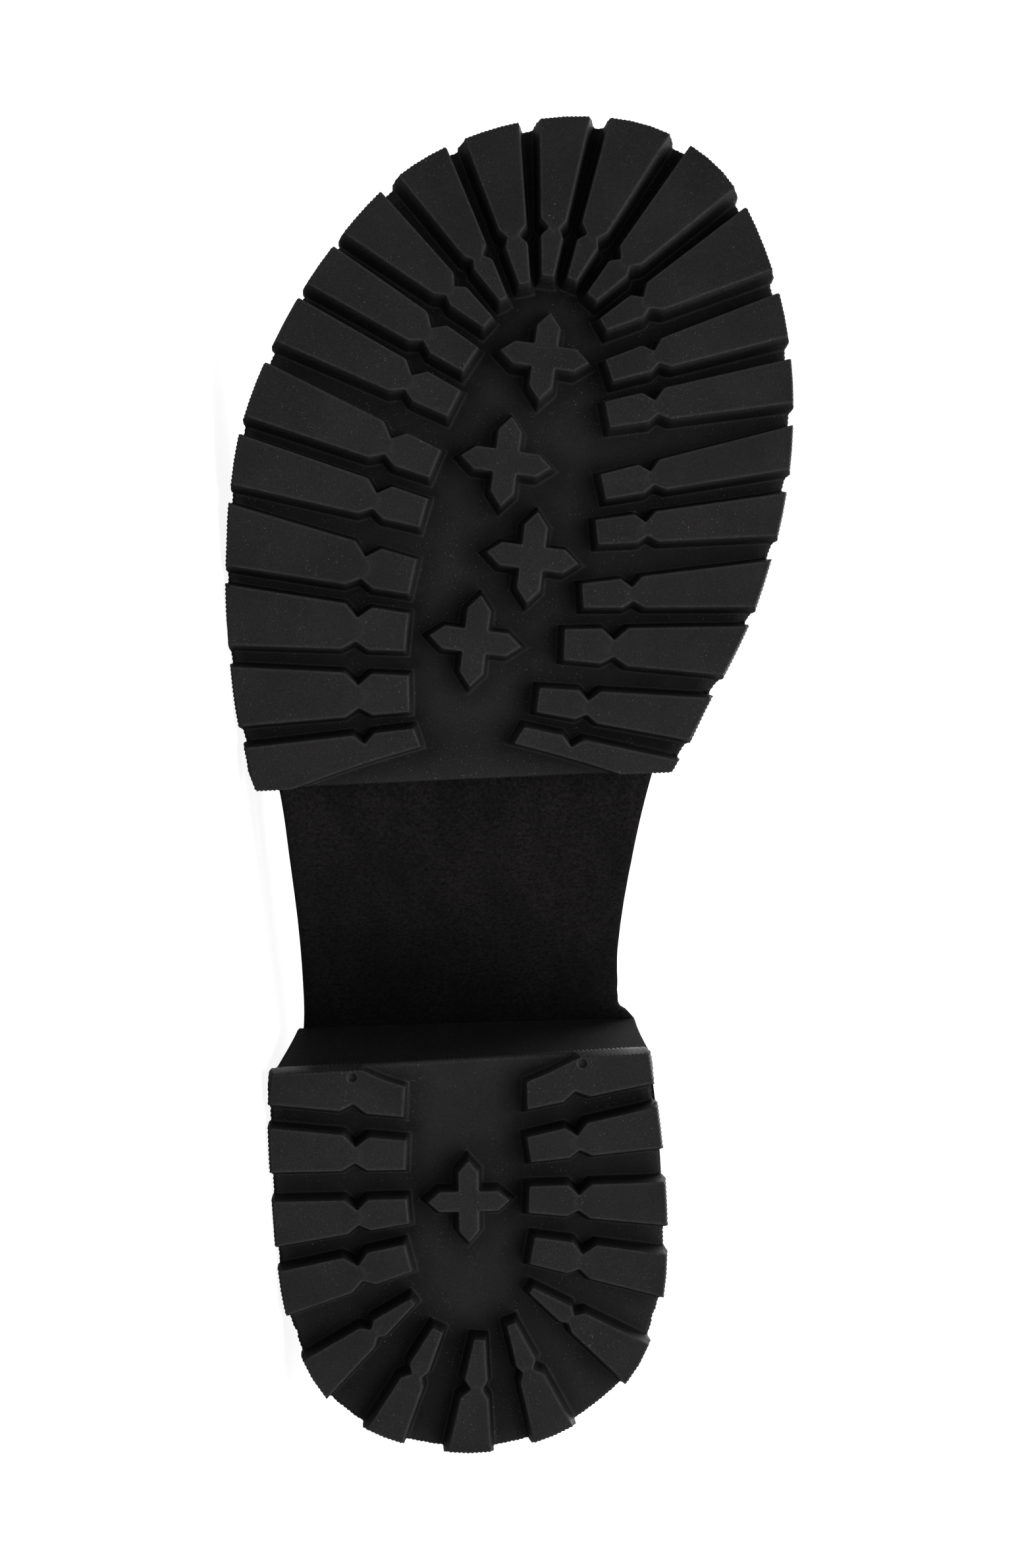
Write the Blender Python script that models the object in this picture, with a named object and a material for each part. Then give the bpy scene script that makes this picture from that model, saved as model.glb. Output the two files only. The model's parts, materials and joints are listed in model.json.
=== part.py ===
"""Platform slingback sandal for the right foot, with a lugged rubber sole, lying on its outer side.

The pieces are modelled in the shoe's own frame, in millimetres: x to the outer side of the foot,
y to the toe and z up from the tread. An empty then lays the shoe down, so that the ends of the
outer lugs and the outer side of the upper touch the floor.
"""
import math

import bmesh
import bpy
import numpy as np
from mathutils import Matrix, Vector
from mathutils.geometry import delaunay_2d_cdt

MM = 0.001
GAP = 0.3                    # between two pieces that meet

# How the shoe lies: its toe to -X, its sole to -Y, its outer side down.
SLANT = math.radians(4.4)    # levels the outer ends of the lugs of heel and forefoot
LEAN = math.radians(3.0)     # the sole looks a little up, because the upper's side is on the floor

# Tread
LUG_DEPTH = 5.5              # from the lugs' faces to the channel floor
PLATE = 4.0                  # rubber above the channel floor
RUBBER = LUG_DEPTH + PLATE
DRAFT = 0.1                  # a lug's side leans out by this much of its depth
RIB = 0.9                    # how far a lug's end stands proud of the sole's side
RIB_TOP = 7.4                # the ribs stop here, above the lugs' faces
RIB_FADE = 8.0               # and have faded here
RAMP = 12.0                  # length over which the channel floor rises to the straight edge
RAMP_LEFT = 3.5              # depth that is left there
RAMP_ROWS = (0.3, 0.55, 0.8) # shares of the ramp at which the floor has a row of points
GAP_STEP = 2.6               # between points of the rim from one lug to the next
STRAIGHT_POINTS = 8          # along the straight edge
FLOOR_GRID = 6.5             # between points of the channel floor
NOTCH_AT = 9.3               # from a lug's inner corner to the tip of its V notch
NOTCH_LEG = 2.5              # half the notch's mouth
NOTCH_TOTAL = 3.8            # both notches of one lug together, at most
NOTCH_SHARE = 0.55           # and at most this much of the lug's width there
NOTCH_TOEWARD = 0.6          # the notch on the side to the toe takes this share
CORNER_SPREAD = 2.0          # a corner lug is this much wider at its notch than at its inner end

# Toe spring
FLAT_Y = 42.0                # middle of the stretch that is flat on the ground
FLAT_HALF = 8.0
ROCKER = 270.0               # radius of the tread beyond it

# Wrapped body
WELT = 3.5                   # the rubber stands out this far under the wrapped platform
EDGE = 1.2                   # rounding of a wrapped edge
PLATFORM = 20.0              # thickness under the ball of the foot
FORE_FROM = 9.0              # the body follows the forefoot's rubber from this y to the toe
SEAT_GAP = 0.4               # between faces that follow the same curve in different facets
INSOLE = 2.8                 # thickness of the footbed
INSOLE_CUP = 1.0             # the footbed is this much lower along its middle
WALL = 2.0                   # thickness of the upper
UPPER_INSET = 0.8            # from the platform's side to the foot of the upper
INSOLE_INSET = UPPER_INSET + WALL + 0.6
STRAP_WIDTH = 12.0
STRAP = 2.4                  # thickness of the sling
STRAP_CHAMFER = 0.5

# Heel block
HEEL_MIDDLE = 7.7            # the heel's middle line at the ground
SEAT_MIDDLE = (5.2, 5.5)     # and under the seat, at the breast and behind it
HEEL_TAPER = (0.969, 0.9)    # width under the seat over width at the ground, in the same places
BREAST_PART = 0.35           # share of the heel's length over which one becomes the other
BREAST_FORWARD = (3.8, 1.5)  # how far its outer and inner edge lean forward, over the block's height
BACK_FORWARD = 3.7           # and its back
HEEL_INSET = (-0.9, 0.2)     # the rubber stands out this far, at the inner front corner and behind
INSET_PART = 0.2             # share of the way round over which one becomes the other
HEEL_CORNER = 0.4            # the breast's corners are cut this far back
HEEL_LEVELS = (0.0, 0.25, 0.5, 0.72, 0.88, 1.0)
BREAST_CURL = 0.9            # the breast sweeps this much further forward into the waist
BREAST_SHARE = 8.0           # over the front eighth of the block

# Outer ends of the forefoot lugs, from the outer rear corner round the toe to the inner one.
FOREFOOT_RIM = (
    (47.0, -1.4), (50.8, 17.0), (52.2, 38.0), (49.8, 63.5), (42.4, 83.4), (32.9, 99.3),
    (19.6, 114.0), (4.1, 122.2), (-12.5, 125.3), (-27.6, 123.2), (-40.1, 114.6), (-48.5, 97.2),
    (-52.2, 77.0), (-51.1, 54.5), (-45.1, 32.4), (-37.2, 16.1), (-30.0, 2.1),
)
# The same for the heel, from its inner front corner round the back to the outer one.
HEEL_RIM = (
    (-25.5, -49.7), (-27.8, -66.0), (-28.8, -84.0), (-27.6, -97.0), (-21.5, -110.3),
    (-8.5, -119.8), (8.0, -123.1), (25.0, -119.3), (34.4, -112.0), (40.6, -99.0),
    (42.8, -87.0), (44.0, -71.5), (44.4, -60.0), (43.9, -53.3),
)

# One row for each lug: middle of its inner end, middle of its outer end, and its widths there.
LUG_COLUMNS = ("inner_x", "inner_y", "outer_x", "outer_y", "inner_w", "outer_w")
FOREFOOT_LUGS = (
    (18.8, 16.6, 50.4, 16.0, 6.7, 10.9),
    (19.2, 27.9, 51.8, 30.9, 7.0, 11.0),
    (18.1, 38.1, 51.9, 45.6, 6.6, 11.2),
    (16.1, 49.8, 50.2, 59.4, 5.5, 9.3),
    (14.0, 58.9, 46.7, 72.4, 5.6, 10.7),
    (10.5, 70.1, 41.2, 85.6, 5.5, 9.2),
    (7.4, 78.3, 35.2, 96.0, 5.4, 8.7),
    (4.1, 85.3, 27.1, 105.8, 2.7, 10.6),
    (1.2, 89.7, 16.0, 115.7, 1.7, 10.6),
    (-2.7, 92.7, 3.2, 122.3, 2.1, 10.8),
    (-7.0, 94.2, -10.6, 124.9, 2.3, 9.5),
    (-11.5, 93.5, -24.6, 123.3, 1.9, 11.6),
    (-15.1, 90.2, -38.3, 115.5, 2.4, 11.7),
    (-17.2, 85.0, -47.0, 101.8, 2.6, 13.0),
    (-18.2, 76.4, -51.1, 87.2, 4.3, 8.5),
    (-17.8, 68.2, -52.2, 74.7, 4.9, 8.2),
    (-17.0, 54.8, -51.9, 62.2, 4.7, 7.9),
    (-15.8, 46.4, -50.2, 49.8, 4.6, 7.8),
    (-13.2, 34.7, -46.7, 36.9, 4.5, 8.4),
    (-9.8, 25.7, -41.7, 24.5, 5.7, 9.3),
    (-5.0, 15.5, -34.8, 11.9, 4.5, 8.3),
)
HEEL_LUGS = (
    (-3.3, -67.3, -27.6, -63.3, 4.7, 7.7),
    (-3.3, -76.5, -28.5, -77.4, 4.9, 8.0),
    (-3.9, -85.9, -28.5, -90.7, 5.0, 7.9),
    (-3.7, -93.2, -23.4, -106.9, 1.2, 8.3),
    (0.0, -99.4, -8.0, -120.0, 1.6, 7.8),
    (5.8, -102.2, 7.6, -123.0, 2.0, 8.0),
    (13.5, -100.4, 23.3, -120.1, 2.1, 7.1),
    (18.1, -95.1, 36.2, -109.3, 1.4, 8.2),
    (18.9, -87.1, 41.8, -93.4, 5.2, 8.2),
    (19.0, -78.5, 43.2, -80.7, 4.6, 8.2),
    (19.4, -68.2, 44.1, -67.2, 5.4, 8.1),
)
# The corner lugs run into the straight edge: the ends of the notched side, then the inner corner,
# one point on the curve back to the edge, and the point where it meets the edge.
CORNER_COLUMNS = ("inner", "outer", "tail", "bend", "meet")
FOREFOOT_CORNERS = (
    ((17.9, 10.2), (49.2, 6.6), (16.7, 6.8), (28.0, 3.4), (40.5, -1.1)),
    ((-2.5, 10.5), (-30.7, 4.5), (-0.6, 7.5), (-13.8, 3.9), (-20.6, 1.7)),
)
HEEL_CORNERS = (
    ((-3.0, -59.9), (-26.8, -55.1), (-2.9, -54.8), (-6.6, -53.3), (-12.6, -50.4)),
    ((19.9, -61.2), (44.3, -58.8), (19.5, -55.6), (23.5, -54.3), (27.5, -52.5)),
)
# Four-armed studs: middle, arm length, arm width, length of the pointed tip, and turn in degrees.
CROSS_COLUMNS = ("x", "y", "arm", "width", "tip", "turn")
FOREFOOT_CROSSES = (
    (-6.3, 79.0, 8.3, 4.3, 2.6, 8.0),
    (0.9, 59.4, 8.4, 4.3, 2.6, 7.5),
    (-3.9, 41.7, 8.5, 4.3, 2.6, 7.0),
    (6.6, 26.3, 8.5, 4.3, 2.6, 7.0),
)
HEEL_CROSSES = ((7.8, -76.8, 7.5, 3.7, 2.1, -1.0),)

# Outline of the waist and the heel seat, from the inner side of the waist round to the outer.
# Between its two ends the outline follows the forefoot's rubber.
SEAT_OUTLINE = (
    (-27.2, 1.0), (-25.8, -5.5), (-24.9, -12.0), (-23.7, -25.0), (-23.5, -37.0), (-24.0, -43.6),
    (-27.7, -46.6), (-28.8, -53.0), (-29.0, -62.0), (-28.2, -76.0), (-25.6, -93.0),
    (-18.8, -107.3), (-7.6, -116.0), (6.2, -119.2), (19.8, -116.0), (30.0, -107.6),
    (35.4, -95.0), (38.3, -78.0), (40.0, -64.0), (40.4, -54.4), (38.8, -51.2),
    (38.8, -41.0), (39.6, -28.0), (41.2, -14.0), (42.7, -2.0),
)
# Heights of the platform's two faces along the foot behind the forefoot tread.
TOP_PROFILE = (
    (-125.0, 83.8), (-105.0, 83.2), (-90.0, 81.8), (-70.0, 76.6), (-50.0, 67.8), (-30.0, 56.0),
    (-10.0, 43.4), (5.0, 35.6), (18.0, 31.4), (32.0, 29.9),
)
UNDER_PROFILE = (
    (-125.0, 73.8), (-105.0, 73.2), (-90.0, 71.6), (-75.0, 68.6), (-60.0, 63.0), (-50.0, 57.0),
    (-40.0, 48.6), (-30.0, 38.8), (-20.0, 28.6), (-10.0, 18.6), (-2.0, 12.6), (6.0, 10.6),
)
BEHIND_RUBBER = -3.0         # the forefoot's rubber ends before this y
TOP_JOIN = 20.0              # length over which the top takes up the curve of the toe spring

# Upper: for stations from the toe opening back to the wings, the height of its crown above the
# footbed, the crown's place across the foot, and how far its sides swell past the platform.
UPPER_COLUMNS = ("y", "height", "crown_x", "swell")
UPPER_SECTIONS = (
    (104.0, 19.0, -9.0, 0.6),
    (90.0, 26.0, -9.0, 1.3),
    (72.0, 34.0, -8.0, 2.2),
    (52.0, 42.0, -6.0, 2.9),
    (38.0, 48.0, -5.0, 2.7),
    (20.0, 56.0, -3.0, 1.2),
    (0.0, 64.0, 0.0, -0.8),
    (-14.0, 69.0, 2.0, -1.8),
)
WIDEST = 16.0                # height above the footbed at which the sides are widest
LOW_SHARE = 0.12             # share of a section's points below that height
FULLNESS = 0.78              # exponent of the arch: 1 is an ellipse, less is fuller
TOE_OPENING = (90.0, 10.0)   # front edge at the crown, and how much further the sides reach
TOPLINE = (36.0, 36.0)       # rear edge at the crown, and how much further back the wings reach

# Middle line of the sling, from the inner wing round the heel to the outer one.
SLING = (
    (-22.0, -22.0, 67.0), (-18.2, -40.0, 82.0), (-15.6, -60.0, 97.5), (-12.2, -80.0, 111.0),
    (-4.7, -97.0, 119.5), (5.6, -103.5, 122.0), (15.9, -97.0, 119.5), (23.5, -80.0, 111.0),
    (27.1, -60.0, 97.5), (30.8, -40.0, 82.0), (35.2, -22.0, 67.0),
)
SLING_ROOTS = (14.0, 4.0)    # y of the stitched ends, inside the wings of the upper

COLOURS = {
    "rubber": (0.022, 0.021, 0.020, 0.62, 0.0),
    "suede": (0.014, 0.013, 0.013, 0.92, 0.0),
    "leather": (0.020, 0.019, 0.018, 0.48, 0.0),
    "insole": (0.045, 0.038, 0.032, 0.60, 0.0),
}


# ---------------------------------------------------------------- curves

def smooth(points, per_span=6, closed=False):
    """Points on a centripetal Catmull-Rom curve through the given ones."""
    p = [np.array(q, float) for q in points]
    ends = (p[-1], p[0], p[1]) if closed else (2 * p[0] - p[1], 2 * p[-1] - p[-2])
    chain = [ends[0]] + p + list(ends[1:])
    curve = []
    for a, b, c, d in zip(chain, chain[1:], chain[2:], chain[3:]):
        k1, k2, k3 = (max(np.linalg.norm(v) ** 0.5, 1e-6) for v in (b - a, c - b, d - c))
        m1 = ((b - a) / k1 - (c - a) / (k1 + k2) + (c - b) / k2) * k2
        m2 = ((c - b) / k2 - (d - b) / (k2 + k3) + (d - c) / k3) * k2
        for i in range(per_span):
            t = i / per_span
            h = (2 * t ** 3 - 3 * t ** 2 + 1, t ** 3 - 2 * t ** 2 + t,
                 3 * t ** 2 - 2 * t ** 3, t ** 3 - t ** 2)
            curve.append(h[0] * b + h[1] * m1 + h[2] * c + h[3] * m2)
    if not closed:
        curve.append(p[-1])
    return np.array(curve)


def spaced(curve, count, closed=False):
    """The same curve with its points evenly spaced along it."""
    line = np.vstack([curve, curve[:1]]) if closed else curve
    run = np.r_[0, np.cumsum(np.linalg.norm(np.diff(line, axis=0), axis=1))]
    at = np.linspace(0, run[-1], count + 1)[:-1] if closed else np.linspace(0, run[-1], count)
    return np.column_stack([np.interp(at, run, line[:, k]) for k in range(line.shape[1])])


def inset(curve, distance, closed=False):
    """A curve moved to its left, which is inwards on the outlines here."""
    if closed:
        step = np.roll(curve, -1, axis=0) - np.roll(curve, 1, axis=0)
    else:
        step = np.gradient(curve, axis=0)
    left = np.column_stack([-step[:, 1], step[:, 0]])
    return curve + distance * left / np.linalg.norm(left, axis=1)[:, None]


def profile(table):
    """Height at y, from a table of stations joined by a smooth curve."""
    line = smooth(table, 8)
    return lambda y: float(np.interp(y, line[:, 0], line[:, 1]))


def rocker(y):
    """Rise of the forefoot tread at y, and its slope angle there."""
    beyond = math.copysign(max(abs(y - FLAT_Y) - FLAT_HALF, 0.0), y - FLAT_Y)
    return ROCKER - math.sqrt(ROCKER ** 2 - beyond ** 2), math.asin(beyond / ROCKER)


def above_tread(y, height):
    """Height at y of a face that runs at a height square to the forefoot's curved tread."""
    beyond = max(abs(y - FLAT_Y) - FLAT_HALF, 0.0)
    return ROCKER - math.sqrt((ROCKER - height) ** 2 - beyond ** 2)


def rocked(x, y, z):
    """A point of the forefoot at height z square to the curved tread."""
    rise, slope = rocker(y)
    return x, y - z * math.sin(slope), rise + z * math.cos(slope)


def level(x, y, z):
    return x, y, z


rear_top, rear_under = profile(TOP_PROFILE), profile(UNDER_PROFILE)


def top_height(y):
    """Upper face of the wrapped platform."""
    if y < TOP_PROFILE[-1][0]:
        return rear_top(y)
    joined = smoothstep((y - TOP_PROFILE[-1][0]) / TOP_JOIN)
    return RUBBER + GAP + PLATFORM + rocker(y)[0] * joined


def under_height(y):
    """Lower face of the wrapped platform, which follows the rubber under the forefoot."""
    on_rubber = above_tread(y, RUBBER + SEAT_GAP)
    if y > UNDER_PROFILE[-1][0]:
        return on_rubber
    return max(rear_under(y), on_rubber) if y > BEHIND_RUBBER else rear_under(y)


def smoothstep(t):
    t = min(max(t, 0.0), 1.0)
    return t * t * (3 - 2 * t)


# ---------------------------------------------------------------- meshes

def add_object(name, bm, material):
    """One object from a mesh in millimetres, with its faces out and its round parts smooth."""
    bmesh.ops.recalc_face_normals(bm, faces=bm.faces)
    bmesh.ops.triangulate(bm, faces=[f for f in bm.faces if len(f.verts) > 3])
    bmesh.ops.scale(bm, vec=(MM, MM, MM), verts=bm.verts)
    mesh = bpy.data.meshes.new(name)
    bm.to_mesh(mesh)
    bm.free()
    mesh.shade_smooth()
    mesh.set_sharp_from_angle(angle=math.radians(32))
    mesh.materials.append(make_material(name, material))
    obj = bpy.data.objects.new(name, mesh)
    bpy.context.scene.collection.objects.link(obj)
    return obj


def make_material(name, kind):
    red, green, blue, roughness, metallic = COLOURS[kind]
    material = bpy.data.materials.new(name)
    material.use_nodes = True
    shader = material.node_tree.nodes["Principled BSDF"]
    shader.inputs["Base Color"].default_value = (red, green, blue, 1.0)
    shader.inputs["Roughness"].default_value = roughness
    shader.inputs["Metallic"].default_value = metallic
    return material


def join(rings, bm, closed=True):
    """Faces between rings of vertices with the same count."""
    for low, high in zip(rings, rings[1:]):
        last = len(low) if closed else len(low) - 1
        for i in range(last):
            j = (i + 1) % len(low)
            bm.faces.new((low[i], low[j], high[j], high[i]))


def triangles_inside(outline, holes=(), extra=()):
    """Delaunay triangles of an outline without its holes: the points, and their index triples.

    Points keep their order: the outline's, each hole's, then the extra ones.
    """
    points, faces = [], []
    for ring in (outline, *holes):
        faces.append(list(range(len(points), len(points) + len(ring))))
        points += [Vector(p) for p in ring]
    points += [Vector(p) for p in extra]
    out, _, tris, origins, _, inside = delaunay_2d_cdt(points, [], faces, 1, 1e-7)
    kept = [t for t, f in zip(tris, inside) if f == [0]]
    source = [min(o) if o else None for o in origins]
    return out, kept, source


def grid_inside(outline, step, margin):
    """Points of a square grid that lie inside an outline, at least a margin from its edge."""
    ring = np.array(outline)
    nxt = np.roll(ring, -1, axis=0)
    low, high = ring.min(axis=0), ring.max(axis=0)
    points = []
    for y in np.arange(low[1] + margin, high[1], step):
        for x in np.arange(low[0] + margin, high[0], step):
            crosses = (ring[:, 1] > y) != (nxt[:, 1] > y)
            at = ring[:, 0] + (y - ring[:, 1]) / np.where(crosses, nxt[:, 1] - ring[:, 1], 1.0) * (
                nxt[:, 0] - ring[:, 0])
            if np.count_nonzero(crosses & (at > x)) % 2 and edge_distance(x, y, ring, nxt) > margin:
                points.append((x, y))
    return points


def edge_distance(x, y, ring, nxt):
    along = nxt - ring
    to = np.array([x, y]) - ring
    t = np.clip((to * along).sum(axis=1) / np.maximum((along ** 2).sum(axis=1), 1e-9), 0, 1)
    return np.linalg.norm(to - along * t[:, None], axis=1).min()


def cap(ring, outline, height, bm, step):
    """Fill a ring of vertices with triangles at the heights of a function of x and y."""
    out, tris, source = triangles_inside(outline, extra=grid_inside(outline, step, step * 0.4))
    verts = [ring[s] if s is not None and s < len(ring) else bm.verts.new((*p, height(*p)))
             for p, s in zip(out, source)]
    for t in tris:
        bm.faces.new([verts[i] for i in t])


def slab(name, outline, low, high, edge, material, step=7.0):
    """A plate between two height functions, with rounded edges."""
    bm = bmesh.new()
    inner = inset(outline, edge, closed=True)
    half = inset(outline, edge * 0.3, closed=True)
    rings = []
    for ring, height, lift in (
        (inner, low, 0.0), (half, low, edge * 0.3), (outline, low, edge),
        (outline, high, -edge), (half, high, -edge * 0.3), (inner, high, 0.0),
    ):
        rings.append([bm.verts.new((x, y, height(x, y) + lift)) for x, y in ring])
    join(rings, bm)
    cap(rings[0], inner, low, bm, step)
    cap(rings[-1], inner, high, bm, step)
    return add_object(name, bm, material)


# ---------------------------------------------------------------- rubber units

def moved_out(ring, distances):
    """A closed ring with each edge moved out by its own distance, corners mitred."""
    ring = np.array(ring)
    count = len(ring)
    edges = np.roll(ring, -1, axis=0) - ring
    edges /= np.linalg.norm(edges, axis=1)[:, None]
    normals = np.column_stack([edges[:, 1], -edges[:, 0]])
    moved = []
    for i in range(count):
        n1, n2 = normals[i - 1], normals[i]
        d1, d2 = distances[i - 1], distances[i]
        matrix = np.array([n1, n2])
        if abs(np.linalg.det(matrix)) > 0.12:
            shift = np.linalg.solve(matrix, np.array([d1, d2]))
        else:
            shift = (n1 * d1 + n2 * d2) / 2
        moved.append(ring[i] + shift)
    return np.array(moved)


def notch(corner, outward, side, width):
    """V notch in a lug's side: three points, from the inner corner out along the side."""
    total = min(NOTCH_TOTAL, NOTCH_SHARE * width)
    share = NOTCH_TOEWARD if side[1] > 0 else 1 - NOTCH_TOEWARD
    leg = NOTCH_LEG * total / NOTCH_TOTAL
    tip = corner + outward * NOTCH_AT - side * total * share
    return [corner + outward * (NOTCH_AT - leg), tip, corner + outward * (NOTCH_AT + leg)]


def hit_rim(start, direction, rim):
    """Where a ray from inside crosses the rim: the point, and its place along the rim."""
    for i, (a, b) in enumerate(zip(rim, rim[1:])):
        matrix = np.column_stack([direction, a - b])
        if abs(np.linalg.det(matrix)) < 1e-9:
            continue
        t, u = np.linalg.solve(matrix, a - start)
        if t > 0 and -1e-9 <= u <= 1 + 1e-9:
            return start + direction * t, i + u
    raise ValueError("the ray misses the rim")


def rim_between(rim, first, last, step=4.0):
    """Points of the rim strictly between two places on it, about a step apart."""
    run = np.r_[0, np.cumsum(np.linalg.norm(np.diff(rim, axis=0), axis=1))]
    index = np.arange(len(rim))
    a, b = np.interp([first, last], index, run)
    pieces = max(int(round((b - a) / step)), 1)
    at = np.linspace(a, b, pieces + 1)[1:-1]
    return [np.array([np.interp(s, run, rim[:, 0]), np.interp(s, run, rim[:, 1])]) for s in at]


def lug_rings(row, rim):
    """A lug's face and foot outlines. Each is an outer chain along the rim and an inner chain."""
    lug = dict(zip(LUG_COLUMNS, row))
    inner = np.array([lug["inner_x"], lug["inner_y"]])
    outer = np.array([lug["outer_x"], lug["outer_y"]])
    axis = (outer - inner) / np.linalg.norm(outer - inner)
    side = np.array([axis[1], -axis[0]])
    sides, places = [], []
    width_at_notch = lug["inner_w"] + (lug["outer_w"] - lug["inner_w"]) * NOTCH_AT / np.linalg.norm(
        outer - inner)
    for sign in (1, -1):
        corner = inner + side * sign * lug["inner_w"] / 2
        end = outer + side * sign * lug["outer_w"] / 2
        along = (end - corner) / np.linalg.norm(end - corner)
        out = side * sign
        on_rim, place = hit_rim(corner, along, rim)
        sides.append([corner, *notch(corner, along, out, width_at_notch),
                      on_rim - along * RIB, on_rim])
        places.append(place)
    before, after = sides
    chain = [before[-2], before[-1], *rim_between(rim, *places), after[-1], after[-2]]
    back = [*after[-3::-1], *before[:-2]]
    return chain, back, places


def corner_rings(row, rim, first):
    """The same for a corner lug, which also runs along the straight edge."""
    corner = {key: np.array(point) for key, point in zip(CORNER_COLUMNS, row)}
    inner, tail, meet = corner["inner"], corner["tail"], corner["meet"]
    along = (corner["outer"] - inner) / np.linalg.norm(corner["outer"] - inner)
    out = np.array([-along[1], along[0]]) if first else np.array([along[1], -along[0]])
    on_rim, place = hit_rim(inner, along, rim)
    width = np.linalg.norm(inner - tail) + CORNER_SPREAD
    side = [inner, *notch(inner, along, out, width), on_rim - along * RIB, on_rim]
    curve = [tail, *smooth([tail, corner["bend"], meet], 3)[1:-1]]
    if first:
        chain = [meet, rim[0], *rim_between(rim, 0, place), side[-1], side[-2]]
        return chain, [*side[-3::-1], *curve], (0, place)
    chain = [side[-2], side[-1], *rim_between(rim, place, len(rim) - 1), rim[-1], meet]
    return chain, [*curve[::-1], *side[:-2]], (place, len(rim) - 1)


def cross_ring(row):
    """Outline of a four-armed stud with pointed arms."""
    cross = dict(zip(CROSS_COLUMNS, row))
    half, arm = cross["width"] / 2, cross["arm"]
    ring = []
    for quarter in range(4):
        turn = math.radians(90 * quarter + cross["turn"])
        forward = np.array([-math.sin(turn), math.cos(turn)])
        left = np.array([-math.cos(turn), -math.sin(turn)])
        middle = np.array([cross["x"], cross["y"]])
        ring += [middle + forward * half - left * half,
                 middle + forward * (arm - cross["tip"]) - left * half,
                 middle + forward * arm,
                 middle + forward * (arm - cross["tip"]) + left * half]
    return ring


def channel_depth(rim):
    """Depth of the channel floor at a point. The floor rises towards the straight edge."""
    start = rim[-1]
    run = (rim[0] - start) / np.linalg.norm(rim[0] - start)

    def depth(p):
        off = abs(run[0] * (p[1] - start[1]) - run[1] * (p[0] - start[0]))
        return RAMP_LEFT + (LUG_DEPTH - RAMP_LEFT) * smoothstep(off / RAMP)

    return depth


def lug_feet(parts, depth):
    """Outline of each lug at the channel floor. Its sides lean out, but not along the rim."""
    feet = []
    for number, (chain, back, _) in enumerate(parts):
        ring = np.array(chain + back)
        middles = (ring + np.roll(ring, -1, axis=0)) / 2
        out = [DRAFT * depth(p) for p in middles]
        start = 0 if number == 0 else 1
        stop = len(chain) - (1 if number == len(parts) - 1 else 2)
        out[start:stop] = [0.0] * (stop - start)
        feet.append(moved_out(ring, out))
    return feet


def unit_outline(parts, feet, rim):
    """Outline of the whole unit at the channel floor, and which of its points are on a rib.

    It follows the lugs' outer ends and, a rib's height further in, the rim between them. The
    last points are those of the straight edge, which are on no rib.
    """
    outline, on_rib = [], []
    for i, (chain, _, places) in enumerate(parts):
        foot = feet[i][:len(chain)]
        outline += list(foot)
        on_rib += [False] + [True] * (len(chain) - 2) + [False]
        if i == len(parts) - 1:
            break
        step = feet[i + 1][0] - foot[-1]
        left = np.array([-step[1], step[0]]) / np.linalg.norm(step)
        between = rim_between(rim, places[1], parts[i + 1][2][0], GAP_STEP)
        outline += [point + left * RIB for point in between]
        on_rib += [False] * len(between)
    straight = spaced(np.array([outline[-1], outline[0]]), STRAIGHT_POINTS)[1:-1]
    return np.array(outline + list(straight)), on_rib + [False] * len(straight)


def ramp_points(rim, centre):
    """Rows of points along the straight edge, which carry the rise of the channel floor."""
    start, edge = rim[-1], rim[0] - rim[-1]
    inward = np.array([-edge[1], edge[0]]) / np.linalg.norm(edge)
    inward *= math.copysign(1.0, np.dot(inward, centre - start))
    return [start + edge * (share + 0.02 * number) + inward * RAMP * row
            for number, row in enumerate(RAMP_ROWS) for share in np.arange(0.3, 0.72, 0.07)]


def rubber_unit(name, rim_points, lugs, corners, crosses, place):
    """A plate with lugs round its edge, from the lugs' faces up to the plate's flat top."""
    rim = smooth(rim_points, 10)
    depth = channel_depth(rim)
    parts = [corner_rings(corners[0], rim, True)]
    parts += [lug_rings(row, rim) for row in lugs]
    parts.append(corner_rings(corners[1], rim, False))
    feet = lug_feet(parts, depth)
    outline, on_rib = unit_outline(parts, feet, rim)
    faces = [chain + back for chain, back, _ in parts]
    for row in crosses:
        ring = cross_ring(row)
        faces.append(ring)
        feet.append(moved_out(ring, [DRAFT * LUG_DEPTH] * len(ring)))

    bm = bmesh.new()
    extra = grid_inside(outline, FLOOR_GRID, 1.2) + ramp_points(rim, outline.mean(axis=0))
    floor_points, tris, source = triangles_inside(outline, feet, extra)
    floor = [bm.verts.new(place(p[0], p[1], depth(p))) for p in floor_points]
    by_source = {s: v for s, v in zip(source, floor) if s is not None}
    for t in tris:
        bm.faces.new([floor[i] for i in t])

    at = np.array([(p[0], p[1]) for p in floor_points])
    for face, foot in zip(faces, feet):
        low = [floor[int(np.argmin(((at - p) ** 2).sum(axis=1)))] for p in foot]
        high = [bm.verts.new(place(p[0], p[1], 0.0)) for p in face]
        join([low, high], bm)
        bm.faces.new(high)

    tucked = np.where(np.array(on_rib)[:, None], inset(outline, RIB * 0.5, closed=True), outline)
    rings = [[by_source[i] for i in range(len(outline))]]
    for ring, height in ((outline, RIB_TOP), (tucked, RIB_FADE), (tucked, RUBBER)):
        rings.append([bm.verts.new(place(p[0], p[1], height)) for p in ring])
    join(rings, bm)
    cap_placed(rings[-1], tucked, place, bm)
    bmesh.ops.delete(bm, geom=[v for v in bm.verts if not v.link_faces], context="VERTS")
    return add_object(name, bm, "rubber")


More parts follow.
